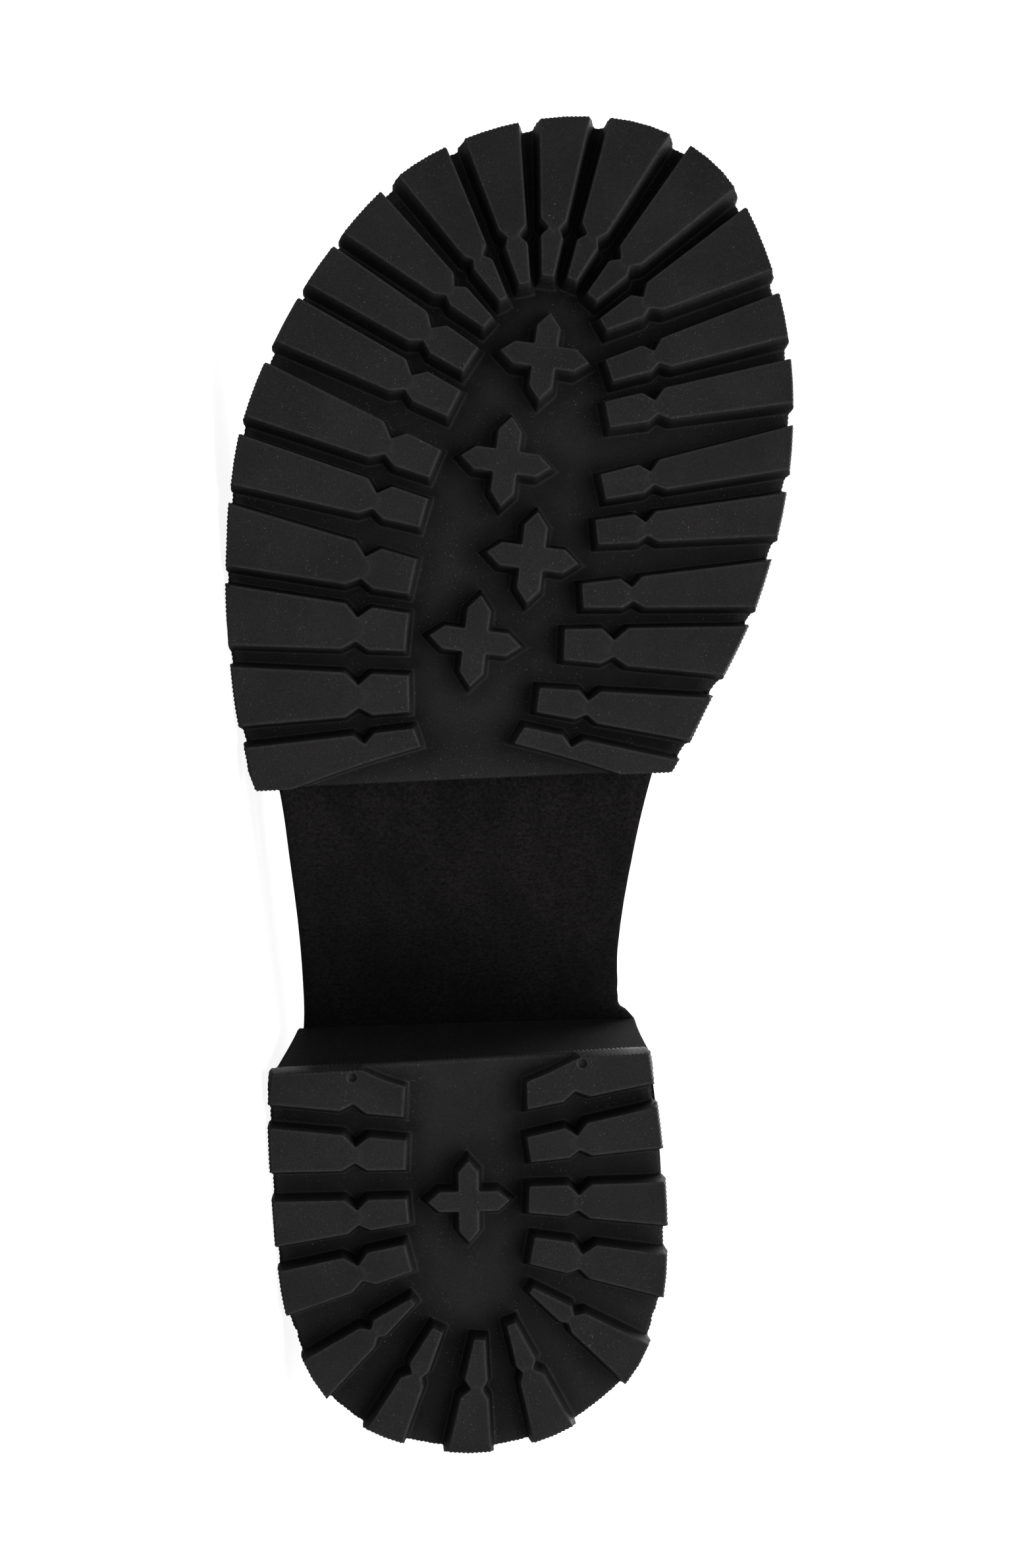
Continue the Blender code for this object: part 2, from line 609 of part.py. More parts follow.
def cap_placed(ring, outline, place, bm):
    """Fill the rubber's top, whose points a function bends to the tread's curve."""
    points, tris, source = triangles_inside(outline, extra=grid_inside(outline, 9.0, 4.0))
    verts = [ring[s] if s is not None and s < len(ring) else bm.verts.new(place(p[0], p[1], RUBBER))
             for p, s in zip(points, source)]
    for t in tris:
        bm.faces.new([verts[i] for i in t])


# ---------------------------------------------------------------- wrapped body

def body_outline(count=116):
    """Outline of platform, waist and heel seat together, seen from above."""
    fore = inset(smooth(FOREFOOT_RIM, 6), WELT)[::3]
    fore = [p for p in fore if p[1] > FORE_FROM]
    return spaced(smooth([*fore, *SEAT_OUTLINE], 6, closed=True), count, closed=True)


def across(outline, y):
    """The outer and inner side of an outline at y."""
    nxt = np.roll(outline, -1, axis=0)
    cuts = []
    for a, b in zip(outline, nxt):
        if (a[1] > y) != (b[1] > y):
            cuts.append(a[0] + (y - a[1]) / (b[1] - a[1]) * (b[0] - a[0]))
    return max(cuts), min(cuts)


def make_platform(outline):
    """Platform, waist and heel seat, wrapped in one piece of suede."""
    return slab("platform", outline, lambda x, y: under_height(y), lambda x, y: top_height(y),
                EDGE, "suede", step=6.0)


def make_insole(outline):
    """Padded footbed, slightly cupped across."""
    ring = inset(outline, INSOLE_INSET, closed=True)

    def high(x, y):
        try:
            outer, inner = across(ring, y)
        except ValueError:
            outer, inner = x, x
        half = max((outer - inner) / 2, 1.0)
        off = min(abs(x - (outer + inner) / 2) / half, 1.0)
        return top_height(y) + GAP + INSOLE - INSOLE_CUP * (1 - off * off)

    return slab("insole", ring, lambda x, y: top_height(y) + GAP, high, 0.8, "insole")


def heel_outline():
    """Foot of the heel block: the rim of its top piece, with the corners cut, and the breast."""
    rim = smooth(HEEL_RIM, 8)
    way_round = np.linspace(0, 1, len(rim))
    rim = inset(rim, np.interp(way_round, (0, INSET_PART), HEEL_INSET)[:, None])
    run = np.r_[0, np.cumsum(np.linalg.norm(np.diff(rim, axis=0), axis=1))]
    at = np.linspace(HEEL_CORNER, run[-1] - HEEL_CORNER, 47)
    round_the_back = np.column_stack([np.interp(at, run, rim[:, 0]), np.interp(at, run, rim[:, 1])])
    width = np.linalg.norm(rim[0] - rim[-1])
    along = (rim[0] - rim[-1]) / width
    shares = np.linspace(HEEL_CORNER, width - HEEL_CORNER, 10)
    return np.vstack([round_the_back, rim[-1] + along * shares[:, None]])


def make_heel_block():
    """Wide wrapped heel, narrower and further forward under the seat."""
    foot = heel_outline()
    front, back = foot[:, 1].max(), foot[:, 1].min()
    share = (front - foot[:, 1]) / (front - back)
    side = (foot[:, 0] - foot[:, 0].min()) / np.ptp(foot[:, 0])
    breast_lean = BREAST_FORWARD[0] * side + BREAST_FORWARD[1] * (1 - side)
    lean = breast_lean * (1 - share) + BACK_FORWARD * share
    curl = BREAST_CURL * np.array([smoothstep(1 - s * BREAST_SHARE) for s in share])
    behind = np.array([smoothstep(s / BREAST_PART) for s in share])
    middle, taper = ([*np.interp(behind, (0, 1), pair)] for pair in (SEAT_MIDDLE, HEEL_TAPER))
    flat = np.column_stack([middle + (foot[:, 0] - HEEL_MIDDLE) * taper, foot[:, 1] + lean + curl])
    tops = np.array([under_height(y) - SEAT_GAP for y in flat[:, 1]])
    bm = bmesh.new()
    rings = []
    for t in HEEL_LEVELS:
        x = foot[:, 0] * (1 - t) + flat[:, 0] * t
        y = foot[:, 1] + lean * t + curl * t ** 5
        z = (RUBBER + GAP) * (1 - t) + tops * t
        rings.append([bm.verts.new(p) for p in zip(x, y, z)])
    join(rings, bm)
    cap(rings[0], foot, lambda x, y: RUBBER + GAP, bm, 20.0)
    cap(rings[-1], flat, lambda x, y: under_height(y) - SEAT_GAP, bm, 6.0)
    return add_object("heel_block", bm, "suede")


# ---------------------------------------------------------------- upper

def section_at(y):
    """Height, crown and swell of the upper at y."""
    table = smooth(UPPER_SECTIONS[::-1], 6)
    return [float(np.interp(y, table[:, 0], table[:, UPPER_COLUMNS.index(name)]))
            for name in ("height", "crown_x", "swell")]


def upper_point(outline, s, y):
    """Point on the upper's outer face: s runs over the foot from its outer to its inner edge."""
    outer, inner = across(outline, y)
    height, crown, swell = section_at(y)
    base = top_height(y) + GAP
    foot, outward = (outer - UPPER_INSET, 1.0) if s < 0.5 else (inner + UPPER_INSET, -1.0)
    low = min(s, 1 - s) / LOW_SHARE
    if low < 1:
        return np.array([foot + outward * swell * math.sin(math.pi / 2 * low), y,
                         base + WIDEST * low])
    angle = math.pi * (s - LOW_SHARE) / (1 - 2 * LOW_SHARE)
    across_share = abs(math.cos(angle)) ** FULLNESS
    up_share = max(math.sin(angle), 0.0) ** FULLNESS
    return np.array([crown + (foot + outward * swell - crown) * across_share, y,
                     base + WIDEST + (height - WIDEST) * up_share])


def upper_edge(s):
    """Front and rear edge of the upper at s."""
    angle = math.pi * min(max((s - LOW_SHARE) / (1 - 2 * LOW_SHARE), 0.0), 1.0)
    swept = abs(math.cos(angle))
    return TOE_OPENING[0] + TOE_OPENING[1] * swept ** 2, TOPLINE[0] - TOPLINE[1] * swept ** 1.7


def upper_shell(outline, columns=33, rows=16):
    """The hollow vamp: an outer face, an inner face a wall's thickness inside, and the edges."""
    outer = np.zeros((rows, columns, 3))
    for j in range(columns):
        s = j / (columns - 1)
        front, rear = upper_edge(s)
        for i in range(rows):
            outer[i, j] = upper_point(outline, s, front + (rear - front) * i / (rows - 1))
    normal = np.cross(np.gradient(outer, axis=0), np.gradient(outer, axis=1))
    normal /= np.linalg.norm(normal, axis=2)[:, :, None]
    normal *= math.copysign(1.0, (normal * (outer - outer.mean(axis=(0, 1)))).sum())
    inner = outer - normal * WALL
    for j in (0, -1):
        inner[:, j, 2] = np.maximum(inner[:, j, 2], outer[:, j, 2])
    bm = bmesh.new()
    out = [[bm.verts.new(p) for p in row] for row in outer]
    inn = [[bm.verts.new(p) for p in row] for row in inner]
    join(out, bm, closed=False)
    join(inn, bm, closed=False)
    join([out[0], inn[0]], bm, closed=False)
    join([out[-1], inn[-1]], bm, closed=False)
    for j in (0, -1):
        join([[row[j] for row in out], [row[j] for row in inn]], bm, closed=False)
    return add_object("upper", bm, "leather")


def ribbon(name, line, width, thickness, material):
    """A flat band along a line, on edge: its width runs as near to upright as the line lets it."""
    a, b, c = width / 2, thickness / 2, STRAP_CHAMFER
    outline = ((a, b - c), (a - c, b), (c - a, b), (-a, b - c),
               (-a, c - b), (c - a, -b), (a - c, -b), (a, c - b))
    bm = bmesh.new()
    rings = []
    steps = np.gradient(line, axis=0)
    for centre, step in zip(line, steps):
        along = step / np.linalg.norm(step)
        up = np.array([0.0, 0.0, 1.0]) - along * along[2]
        up /= np.linalg.norm(up)
        side = np.cross(along, up)
        rings.append([bm.verts.new(centre + up * p + side * q) for p, q in outline])
    join(rings, bm)
    bm.faces.new(rings[0])
    bm.faces.new(rings[-1])
    return add_object(name, bm, material)


def make_upper(outline):
    """Vamp and sling as one leather upper, joined where the sling runs into the wings."""
    upper = upper_shell(outline)
    roots = []
    for s, inwards in ((1 - LOW_SHARE, 1.0), (LOW_SHARE, -1.0)):
        roots.append([upper_point(outline, s, y) + (inwards * WALL / 2, 0, 0) for y in SLING_ROOTS])
    line = spaced(smooth([*roots[0], *SLING, *roots[1][::-1]], 8), 72)
    sling = ribbon("sling_guide", line, STRAP_WIDTH, STRAP, "leather")
    sling.hide_render = True
    sling.display_type = "WIRE"
    joined = upper.modifiers.new("sling", "BOOLEAN")
    joined.operation = "UNION"
    joined.solver = "EXACT"
    joined.object = sling
    return upper, sling


# ---------------------------------------------------------------- the shoe

def lie_down(objects):
    """Lay the shoe on its outer side, with an empty that carries every piece.

    The shoe lies on the ends of the outer lugs of heel and forefoot and on the upper's outer
    side. The origin is at the bottom centre of its box.
    """
    lying = bpy.data.objects.new("lying_shoe", None)
    bpy.context.scene.collection.objects.link(lying)
    onto_side = Matrix(((0, -1, 0), (0, 0, 1), (-1, 0, 0))).to_4x4()
    turn = Matrix.Rotation(-LEAN, 4, "X") @ Matrix.Rotation(SLANT, 4, "Y")
    lying.matrix_world = turn @ onto_side
    for obj in objects:
        obj.parent = lying
    bpy.context.view_layer.update()
    depsgraph = bpy.context.evaluated_depsgraph_get()
    corners = []
    for obj in objects:
        if not obj.hide_render:
            shape = obj.evaluated_get(depsgraph)
            corners += [shape.matrix_world @ vertex.co for vertex in shape.data.vertices]
    low, high = np.min(corners, axis=0), np.max(corners, axis=0)
    lying.location = Vector((-(low[0] + high[0]) / 2, -(low[1] + high[1]) / 2, -low[2]))


def main():
    for obj in list(bpy.data.objects):
        bpy.data.objects.remove(obj)
    outline = body_outline()
    pieces = [
        rubber_unit("outsole_forefoot", FOREFOOT_RIM, FOREFOOT_LUGS, FOREFOOT_CORNERS,
                    FOREFOOT_CROSSES, rocked),
        rubber_unit("heel_top_piece", HEEL_RIM, HEEL_LUGS, HEEL_CORNERS, HEEL_CROSSES, level),
        make_platform(outline),
        make_heel_block(),
        make_insole(outline),
        *make_upper(outline),
    ]
    lie_down(pieces)


main()
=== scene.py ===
"""Looks of the platform slingback sandal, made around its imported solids.

Shapes are worked out in the shoe's own frame, in millimetres: x to the outer side of the foot,
y to the toe and z up from the tread. SHOE turns that frame into the row frame, in metres.
"""
import json
import math

import bmesh
import bpy
import numpy as np
from mathutils import Matrix, Vector
from mathutils.bvhtree import BVHTree
from mathutils.geometry import delaunay_2d_cdt
from mathutils.kdtree import KDTree


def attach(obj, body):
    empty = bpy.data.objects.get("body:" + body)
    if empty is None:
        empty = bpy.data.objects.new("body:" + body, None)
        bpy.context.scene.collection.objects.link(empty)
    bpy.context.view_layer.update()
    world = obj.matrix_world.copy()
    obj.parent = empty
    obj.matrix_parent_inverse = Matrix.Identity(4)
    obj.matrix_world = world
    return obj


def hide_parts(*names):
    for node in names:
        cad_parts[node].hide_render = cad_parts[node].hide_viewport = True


MM = 0.001

# How the shoe lies, as in the part's source.
SLANT = math.radians(4.4)
LEAN = math.radians(3.0)
HEEL_MOUNT = (7.8, -76.8, 0.0)      # the mount heel_tread in the shoe's frame

# Camera
DISTANCE = 600.0                    # from the tread
FIELD = 288.5                       # height of the picture at that distance
SENSOR = 36.0

# Tread, as in the part's source: its curve, the lugs' depth and the ramps at straight edges
ROCKER, FLAT_Y, FLAT_HALF = 270.0, 42.0, 8.0
LUG_DEPTH, RUBBER = 5.5, 9.5
RAMP, RAMP_LEFT = 12.0, 3.5
BEYOND = 4.0                        # a lug's sides run on past the rim by this much

# A lug
DRAFT = 0.16                        # its side leans out by this much of its depth
ROUND = 0.2                         # rounding of its upper edge
CORNER, CORNER_SHARE = 0.35, 0.45   # rounding of its corners seen from below, at most of a side
SHARP_FROM, SHARP_TO = 0.4, 4.0     # between these distances, the corners of its side are sharp
MITRE = 0.6                         # most that a sharp corner may reach out, as a share
FILLET = 0.28                       # rounding at its foot
LINE, LINE_WIDTH = 0.07, 0.1        # fine ridge left by the mould round its foot
ARC_BULGE, ARC_STEP = 0.3, 0.3      # fine line from notch to notch: bulge, of its length
NOTCH_TIP = 0.35                    # sine of the turn at the tip of a notch, at least

# The rim. How far it leans out: on the outer side, on the inner side, at the end of the foot
# and along the unit's straight edge.
RIMS = {"outsole_forefoot": (0.25, 0.45, 1.4, 0.0), "heel_top_piece": (0.35, 0.5, 0.7, 0.75)}
GAP_LEAN = 0.75                     # at least, where a channel ends in a notch of the rim
NOTCH, NOTCH_STEPS = 0.8, 9         # depth of such a notch, and half its width in side steps
SMOOTHING = 150                     # rounds that even the notches out of the rim's direction
LEAN_OVER = 4.0                     # from the straight edge to where the side's lean is full
FRONT_OVER = 0.4                    # past the rim, the side of the straight edge leans in full
FLOOR_ROUND = 0.35                  # rounding of the channels' floors where they meet the side,
FLOOR_FROM, FLOOR_OVER = 0.2, 1.0   # from this far off a lug
SIDE_RIB, RIB_OVER = 0.08, 0.25     # half the height of the side's fine ribs, and their run-out
RIB_TOP = 7.4                       # the ribs end here, and the side steps in by TUCK
TUCK, TUCK_OVER = 0.35, 0.5
BACK_ROUND = 0.4                    # rounding of the edge that lies against the suede
PRESSED = 0.05                      # nothing of the rim comes nearer to the floor

# Moulded pits beside the heel's straight edge
DIMPLES = ((29.2, -53.9), (-13.2, -51.5))
DIMPLE_RADIUS, DIMPLE_DEPTH = 0.95, 0.7
DIMPLE_RINGS, DIMPLE_SIDES = np.linspace(0.2, 1.3, 6), 16   # of the mesh, in its radii

# Mesh of the tread: lines beside a lug's outline and beside the rim, and points in between
RING_OFFSETS = (-0.6, -ROUND, -ROUND * 0.55, -ROUND * 0.2, 0.0, 0.4, 0.78, 0.86, 0.97, 1.08, 1.2,
                1.35, 1.5, 1.65)
BORDER_OFFSETS = (-0.8, -0.4, -0.2, -0.08, 0.0, 0.35, 0.75, 1.15)
ARC_OFFSETS = (-0.12, 0.0, 0.12)
STEP, SIDE_STEP = 0.85, 0.4         # between points of the lugs' lines and of the rim
PAST_RIM, SHORT_OF_LEAN = 0.3, 0.05     # where a lug's lines and the rim's lines end
GRID_STEP, GRID_SKEW = 1.7, 3.1     # between points of the grid, whose rows are staggered
GRID_FROM_RIM, GRID_IN_LUG, GRID_BESIDE_LUG = 1.1, 1.0, 1.9
BACK_STEP, BACK_FROM_RIM = 6.0, 4.0
BATCH = 2000                        # points worked on at once, to save memory

# Painted highlights: how light they are, and how far from their middle that fades
EDGE_HIGHLIGHT, EDGE_FADE = 0.7, 0.14    # the lugs' upper edges
FOOT_HIGHLIGHT, FOOT_FADE = 0.3, 0.09    # the mould lines at their feet
ARC_HIGHLIGHT, ARC_FADE = 0.45, 0.13     # the fine lines from notch to notch
PIT_HIGHLIGHT, PIT_FADE, PIT_RIM = 0.8, 0.12, 1.05   # round the dimples, in their radii
LIP_HIGHLIGHT, LIP_BAND = 0.45, 0.1      # the leaning side along a straight edge

# Painted shade, as shares: on a lug's side, more on the floor beside it, and most between two
# lugs. The distances are from a lug's outline.
SIDE_SHADE, SIDE_OVER = 0.3, 0.25
FLOOR_SHADE, FOOT_FROM, FOOT_OVER = 0.3, 0.8, 0.4
GAP_SHADE, GAP_FROM, GAP_OVER = 0.4, 1.5, 3.5       # from the second nearest lug
OPEN_SHADE_FADE, OPEN_FROM, OPEN_OVER = 0.85, 1.5, 5.0    # further out, the painted shade fades off the floor
RIM_SHADE_FADE, RIM_BAND = 0.6, 2.0       # and off the rim
# the unit's side gets this share of painted shade
UNIT_SIDE_SHADE = 0.5

# The waist's edge on the inner side, where it steps out to the heel seat: y and how far out.
# It fades in from the middle of the waist.
WAIST_EDGE = ((-50.0, 0.0), (-47.3, 0.85), (-45.2, 0.1), (-44.7, -1.0), (-42.3, 0.0),
              (-39.5, 0.5), (-34.0, 0.0))
WAIST_FROM, WAIST_OVER = -8.0, 8.0

# Upper. Places on it are found by rays towards a line inside the foot, and on the sling
# towards the sling's own centre.
AXIS_X, AXIS_Z = -4.0, 52.0
SLING_CENTRE = (5.6, -60.0)
VAMP_TURNS = np.arange(-14.0, 194.1, 1.5)       # angles of the rays, in degrees
SLING_TURNS = np.arange(-207.0, 27.1, 1.5)
SLING_LEVELS = np.arange(60.0, 130.0, 0.5)
BACK_EDGE, TOE_EDGE = (60.0, -20.0), (80.0, 110.0)  # y on the vamp, and y beyond its cut edge
WING_END, VAMP_END = 1.0, -6.0      # y where the back edge's stitches end, and the vamp
STITCH, STITCH_GAP, THREAD = 2.3, 0.7, 0.3      # length, space between two, half thickness
LOOK = 0.4                          # a stitch takes its direction from this far to both sides
THREAD_LIFT, THREAD_DIP = 0.55, 0.9     # of its middle and its ends, in half thicknesses
THREAD_SINK, THREAD_SIDES = 0.05, 6
# A thread's form: place along it, and its share of the full thickness there.
THREAD_FORM = ((-1.0, 0.35), (-0.8, 0.8), (-0.35, 1.0), (0.35, 1.0), (0.8, 0.8), (1.0, 0.35))
SEAM_IN = 2.4                       # from a cut edge to its row of stitches
SLING_IN = 0.19                     # the same on the sling, of its width
FOOTBED_IN = 3.2                    # the same on the footbed
SEAM_DEPTH, SEAM_WIDTH = 0.22, 0.8  # trough that a row pulls into the leather
ROOT_Y, ROOT_Z = (6.0, 15.0), (46.0, 55.0)      # where the sling's ends are sewn in
INNER = 0.35                        # a face that looks at the foot by more than this is inside
VOXEL = 0.8                         # of the mesh that evens out the facets
# Soft creases where the vamp bends: across the foot at y, half their width and depth.
CREASES = ((62.0, 3.2, 0.35), (53.0, 2.6, 0.28), (44.5, 2.2, 0.22))
CREASE_BOW = 0.004                  # they bow towards the toe at both sides
CREASE_RIDGE, RIDGE_OFF = 0.45, 1.9     # ridges beside a crease, of its depth and its width
CREASE_LOW, CREASE_BACK = (48.0, 22.0), (20.0, 12.0)    # z and y where they fade in, over what

# Stage
FLOOR_SIZE, FLOOR_ALPHA = 6.0, 0.3
AMBIENT, BACKDROP = 0.16, 1.3
# Soft lights: where each comes from, its strength and its spread in degrees. The key light is a
# broad one on the camera's side, above and a little towards the heel.
SUNS = (
    ("key", (0.48, -1.0, 1.1), 2.55, 66),
    ("top", (0.1, 0.5, 1.0), 0.15, 60),
    ("edge", (-0.15, -0.2, 1.0), 0.5, 15),
    ("back", (-0.4, 1.0, 0.5), 2.2, 60),
)

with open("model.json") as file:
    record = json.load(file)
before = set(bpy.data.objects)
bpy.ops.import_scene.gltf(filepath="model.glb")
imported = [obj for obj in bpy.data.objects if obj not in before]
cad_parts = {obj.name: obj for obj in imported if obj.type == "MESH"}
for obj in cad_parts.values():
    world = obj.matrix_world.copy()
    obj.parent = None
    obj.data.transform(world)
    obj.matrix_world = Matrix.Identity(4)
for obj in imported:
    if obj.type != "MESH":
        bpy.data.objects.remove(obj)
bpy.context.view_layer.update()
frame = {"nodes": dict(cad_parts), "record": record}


def shoe_frame():
    """The shoe's frame, from the mount on the heel and the level of the heel's tread."""
    onto_side = Matrix(((0, -1, 0), (0, 0, 1), (-1, 0, 0))).to_4x4()
    turn = Matrix.Rotation(-LEAN, 4, "X") @ Matrix.Rotation(SLANT, 4, "Y") @ onto_side
    mount = next(m for m in frame["record"]["mounts"] if m["name"] == "heel_tread")
    place = Vector(mount["pos_m"]) - turn @ (Vector(HEEL_MOUNT) * MM)
    turned = Matrix.Translation(place) @ turn @ Matrix.Diagonal((MM, MM, MM, 1))
    heel = frame["nodes"]["heel_top_piece"].data
    level = min((turned.inverted() @ vert.co).z for vert in heel.vertices)
    return turned @ Matrix.Translation((0, 0, level))


SHOE = shoe_frame()


# ------------ meshes

def cad_mesh(node):
    """A CAD node's welded mesh, in the shoe's frame."""
    bm = bmesh.new()
    bm.from_mesh(frame["nodes"][node].data)
    bm.transform(SHOE.inverted())
    bmesh.ops.remove_doubles(bm, verts=bm.verts, dist=0.002)
    return bm


def add_object(name, data):
    item = bpy.data.objects.new(name, data)
    bpy.context.scene.collection.objects.link(item)
    return item


def add_mesh(name, bm, material):
    mesh = bpy.data.meshes.new(name)
    bm.to_mesh(mesh)
    bm.free()
    mesh.shade_smooth()
    mesh.materials.append(material)
    return add_object(name, mesh)


def add_piece(name, bm, material, node=None):
    """A piece made from a mesh in the shoe's frame. It may stand for a CAD node."""
    bm.transform(SHOE)
    piece = add_mesh(name, bm, material)
    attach(piece, "root")
    if node:
        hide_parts(node)
    return piece


def smoothstep(t):
    t = np.clip(t, 0.0, 1.0)
    return t * t * (3 - 2 * t)


def unit(rows):
    """Rows of a table, each made one long."""
    return rows / np.linalg.norm(rows, axis=1)[:, None]


def loops(edges):
    """Closed loops of vertices from a set of edges, each vertex once."""
    links = {}
    for edge in edges:
        a, b = edge.verts
        links.setdefault(a, []).append(b)
        links.setdefault(b, []).append(a)
    found = []
    left = set(links)
    while left:
        start = min(left, key=lambda v: v.index)
        ring, before, here = [start], None, start
        while True:
            ahead = [v for v in links[here] if v is not before]
            before, here = here, ahead[0]
            if here is start:
                break
            ring.append(here)
        left -= set(ring)
        found.append(ring)
    return found


def resampled(ring, step):
    """A closed ring with points about a step apart. Its corners stay."""
    points = []
    for a, b in zip(ring, np.roll(ring, -1, axis=0)):
        count = max(int(round(np.linalg.norm(b - a) / step)), 1)
        points += [a + (b - a) * i / count for i in range(count)]
    return np.array(points)


def evenly(ring, step):
    """A closed ring with evenly spaced points."""
    line = np.vstack([ring, ring[:1]])
    run = np.r_[0, np.cumsum(np.linalg.norm(np.diff(line, axis=0), axis=1))]
    at = np.linspace(0, run[-1], int(run[-1] / step) // 2 * 2 + 1)[:-1]
    return np.column_stack([np.interp(at, run, line[:, k]) for k in range(2)])


def clockwise(ring):
    return np.cross(ring, np.roll(ring, -1, axis=0)).sum() < 0


def border_of(bm, faces):
    """Edges between some of a mesh's faces and the others."""
    return [edge for edge in bm.edges if sum(f in faces for f in edge.link_faces) == 1]


def longest(edges):
    """The loop of edges with the most points, seen from above, anticlockwise."""
    ring = max((np.array([v.co[:2] for v in ring]) for ring in loops(edges)), key=len)
    return ring[::-1] if clockwise(ring) else ring


def evened(ring, rounds=1):
    """A closed ring with its points drawn towards their neighbours."""
    for _ in range(rounds):
        ring = (np.roll(ring, 1, axis=0) + 2 * ring + np.roll(ring, -1, axis=0)) / 4
    return ring


def outward(ring):
    """Unit normals at the points of a ring that runs anticlockwise."""
    step = np.roll(ring, -1, axis=0) - np.roll(ring, 1, axis=0)
    return unit(np.column_stack([step[:, 1], -step[:, 0]]))


def edge_normals(ring):
    """Unit normals of the edges of a ring that runs anticlockwise."""
    run = unit(np.roll(ring, -1, axis=0) - ring)
    return np.column_stack([run[:, 1], -run[:, 0]])


def moved_out(ring, distances):
    """A closed ring with each edge moved out by its own distance, corners mitred."""
    normals = edge_normals(ring)
    moved = []
    for i, point in enumerate(ring):
        matrix = np.array([normals[i - 1], normals[i]])
        reach = np.array([distances[i - 1], distances[i]])
        if abs(np.linalg.det(matrix)) > 0.12:       # a corner, not a point on a line
            moved.append(point + np.linalg.solve(matrix, reach))
        else:
            moved.append(point + (normals[i - 1] * reach[0] + normals[i] * reach[1]) / 2)
    return np.array(moved)


def rounded(ring, radius, steps=4):
    """A closed ring with its corners rounded."""
    points = []
    for before, here, after in zip(np.roll(ring, 1, axis=0), ring, np.roll(ring, -1, axis=0)):
        a, b = before - here, after - here
        la, lb = np.linalg.norm(a), np.linalg.norm(b)
        a, b = a / la, b / lb
        cut = min(radius, la * CORNER_SHARE, lb * CORNER_SHARE)
        for i in range(steps + 1):
            t = i / steps
            points.append(here + a * cut * (1 - t) ** 2 + b * cut * t ** 2)
    return np.array(points)


def ring_distance(points, ring):
    """Distance of points from a closed ring, negative inside it."""
    best = np.full(len(points), np.inf)
    inside = np.zeros(len(points), bool)
    for a, b in zip(ring, np.roll(ring, -1, axis=0)):
        along = b - a
        to = points - a
        t = np.clip((to @ along) / max(along @ along, 1e-12), 0, 1)
        gap = to - t[:, None] * along
        best = np.minimum(best, (gap ** 2).sum(axis=1))
        crosses = (a[1] > points[:, 1]) != (b[1] > points[:, 1])
        if crosses.any():
            x = a[0] + (points[:, 1] - a[1]) / along[1] * along[0]
            inside ^= crosses & (x > points[:, 0])
    return np.sqrt(best) * np.where(inside, -1.0, 1.0)


def mitred_distance(points, ring):
    """Like ring_distance, but outside a corner the distance is from the lines of its two sides."""
    normals = edge_normals(ring)
    off = ring_distance(points, ring)
    near = off > 0
    corners = ((points[near, None] - ring[None]) ** 2).sum(axis=2)
    index = corners.argmin(axis=1)
    to = points[near] - ring[index]
    sides = np.maximum((to * normals[index - 1]).sum(axis=1), (to * normals[index]).sum(axis=1))
    at_corner = np.abs(np.sqrt(corners.min(axis=1)) - off[near]) < 1e-6
    off[near] = np.where(at_corner, np.maximum(sides, MITRE * off[near]), off[near])
    return off


# ------------ rubber units

def flatten_toe(p):
    """A point of the forefoot with the curve of the tread taken out."""
    x, y, z = p
    if abs(y - FLAT_Y) <= FLAT_HALF:
        return x, y, z
    centre = FLAT_Y + math.copysign(FLAT_HALF, y - FLAT_Y)
    angle = math.atan2(y - centre, ROCKER - z)
    return x, centre + ROCKER * math.sin(angle), ROCKER - math.hypot(y - centre, ROCKER - z)


def bend_toe(x, y, z):
    """The opposite: a point at height z square to the curved tread."""
    beyond = math.copysign(max(abs(y - FLAT_Y) - FLAT_HALF, 0.0), y - FLAT_Y)
    slope = math.asin(beyond / ROCKER)
    rise = ROCKER - math.sqrt(ROCKER ** 2 - beyond ** 2)
    return x, y - z * math.sin(slope), rise + z * math.cos(slope)


def flatten_heel(p):
    """The tread of the heel is flat already."""
    return p


def bend_heel(x, y, z):
    return x, y, z


def read_unit(node, flatten):
    """The lugs' outlines and the whole outline of a rubber unit, from its solid.

    Each lug's outline has a flag for each edge: whether it's free, on the rim of the unit.
    """
    bm = cad_mesh(node)
    for vert in bm.verts:
        vert.co = flatten(tuple(vert.co))
    bm.normal_update()
    bm.verts.index_update()
    top = {f for f in bm.faces if all(abs(v.co.z) < 0.02 for v in f.verts)}
    lugs = []
    for ring in loops(border_of(bm, top)):
        points = np.array([v.co[:2] for v in ring])
        free = []
        for a, b in zip(ring, ring[1:] + ring[:1]):
            edge = bm.edges.get((a, b))
            wall = next(f for f in edge.link_faces if f not in top)
            free.append(abs(wall.normal.z) < 0.05)      # the rim's wall stands upright
        if clockwise(points):
            points, free = points[::-1], free[-2::-1] + free[-1:]
        lugs.append((points, free))
    cut = bmesh.ops.bisect_plane(bm, geom=bm.verts[:] + bm.edges[:] + bm.faces[:], dist=0.0001,
                                 plane_co=(0, 0, (LUG_DEPTH + RIB_TOP) / 2), plane_no=(0, 0, 1))
    side = [e for e in cut["geom_cut"] if isinstance(e, bmesh.types.BMEdge)]
    bm.verts.index_update()
    outline = longest(side)
    bm.free()
    return lugs, outline


def straight_edge(outline):
    """Ends of the unit's straight edge: the longest run that turns by under half a degree."""
    step = np.roll(outline, -1, axis=0) - outline
    turn = np.degrees(np.arctan2(step[:, 1], step[:, 0]))
    best, count = None, len(outline)
    for i in range(count):
        length, j = 0.0, i
        while abs((turn[j % count] - turn[i] + 180) % 360 - 180) < 0.5 and j < i + count:
            length += np.linalg.norm(step[j % count])
            j += 1
        if best is None or length > best[0]:
            best = (length, outline[i], outline[j % count])
    return best[1], best[2]


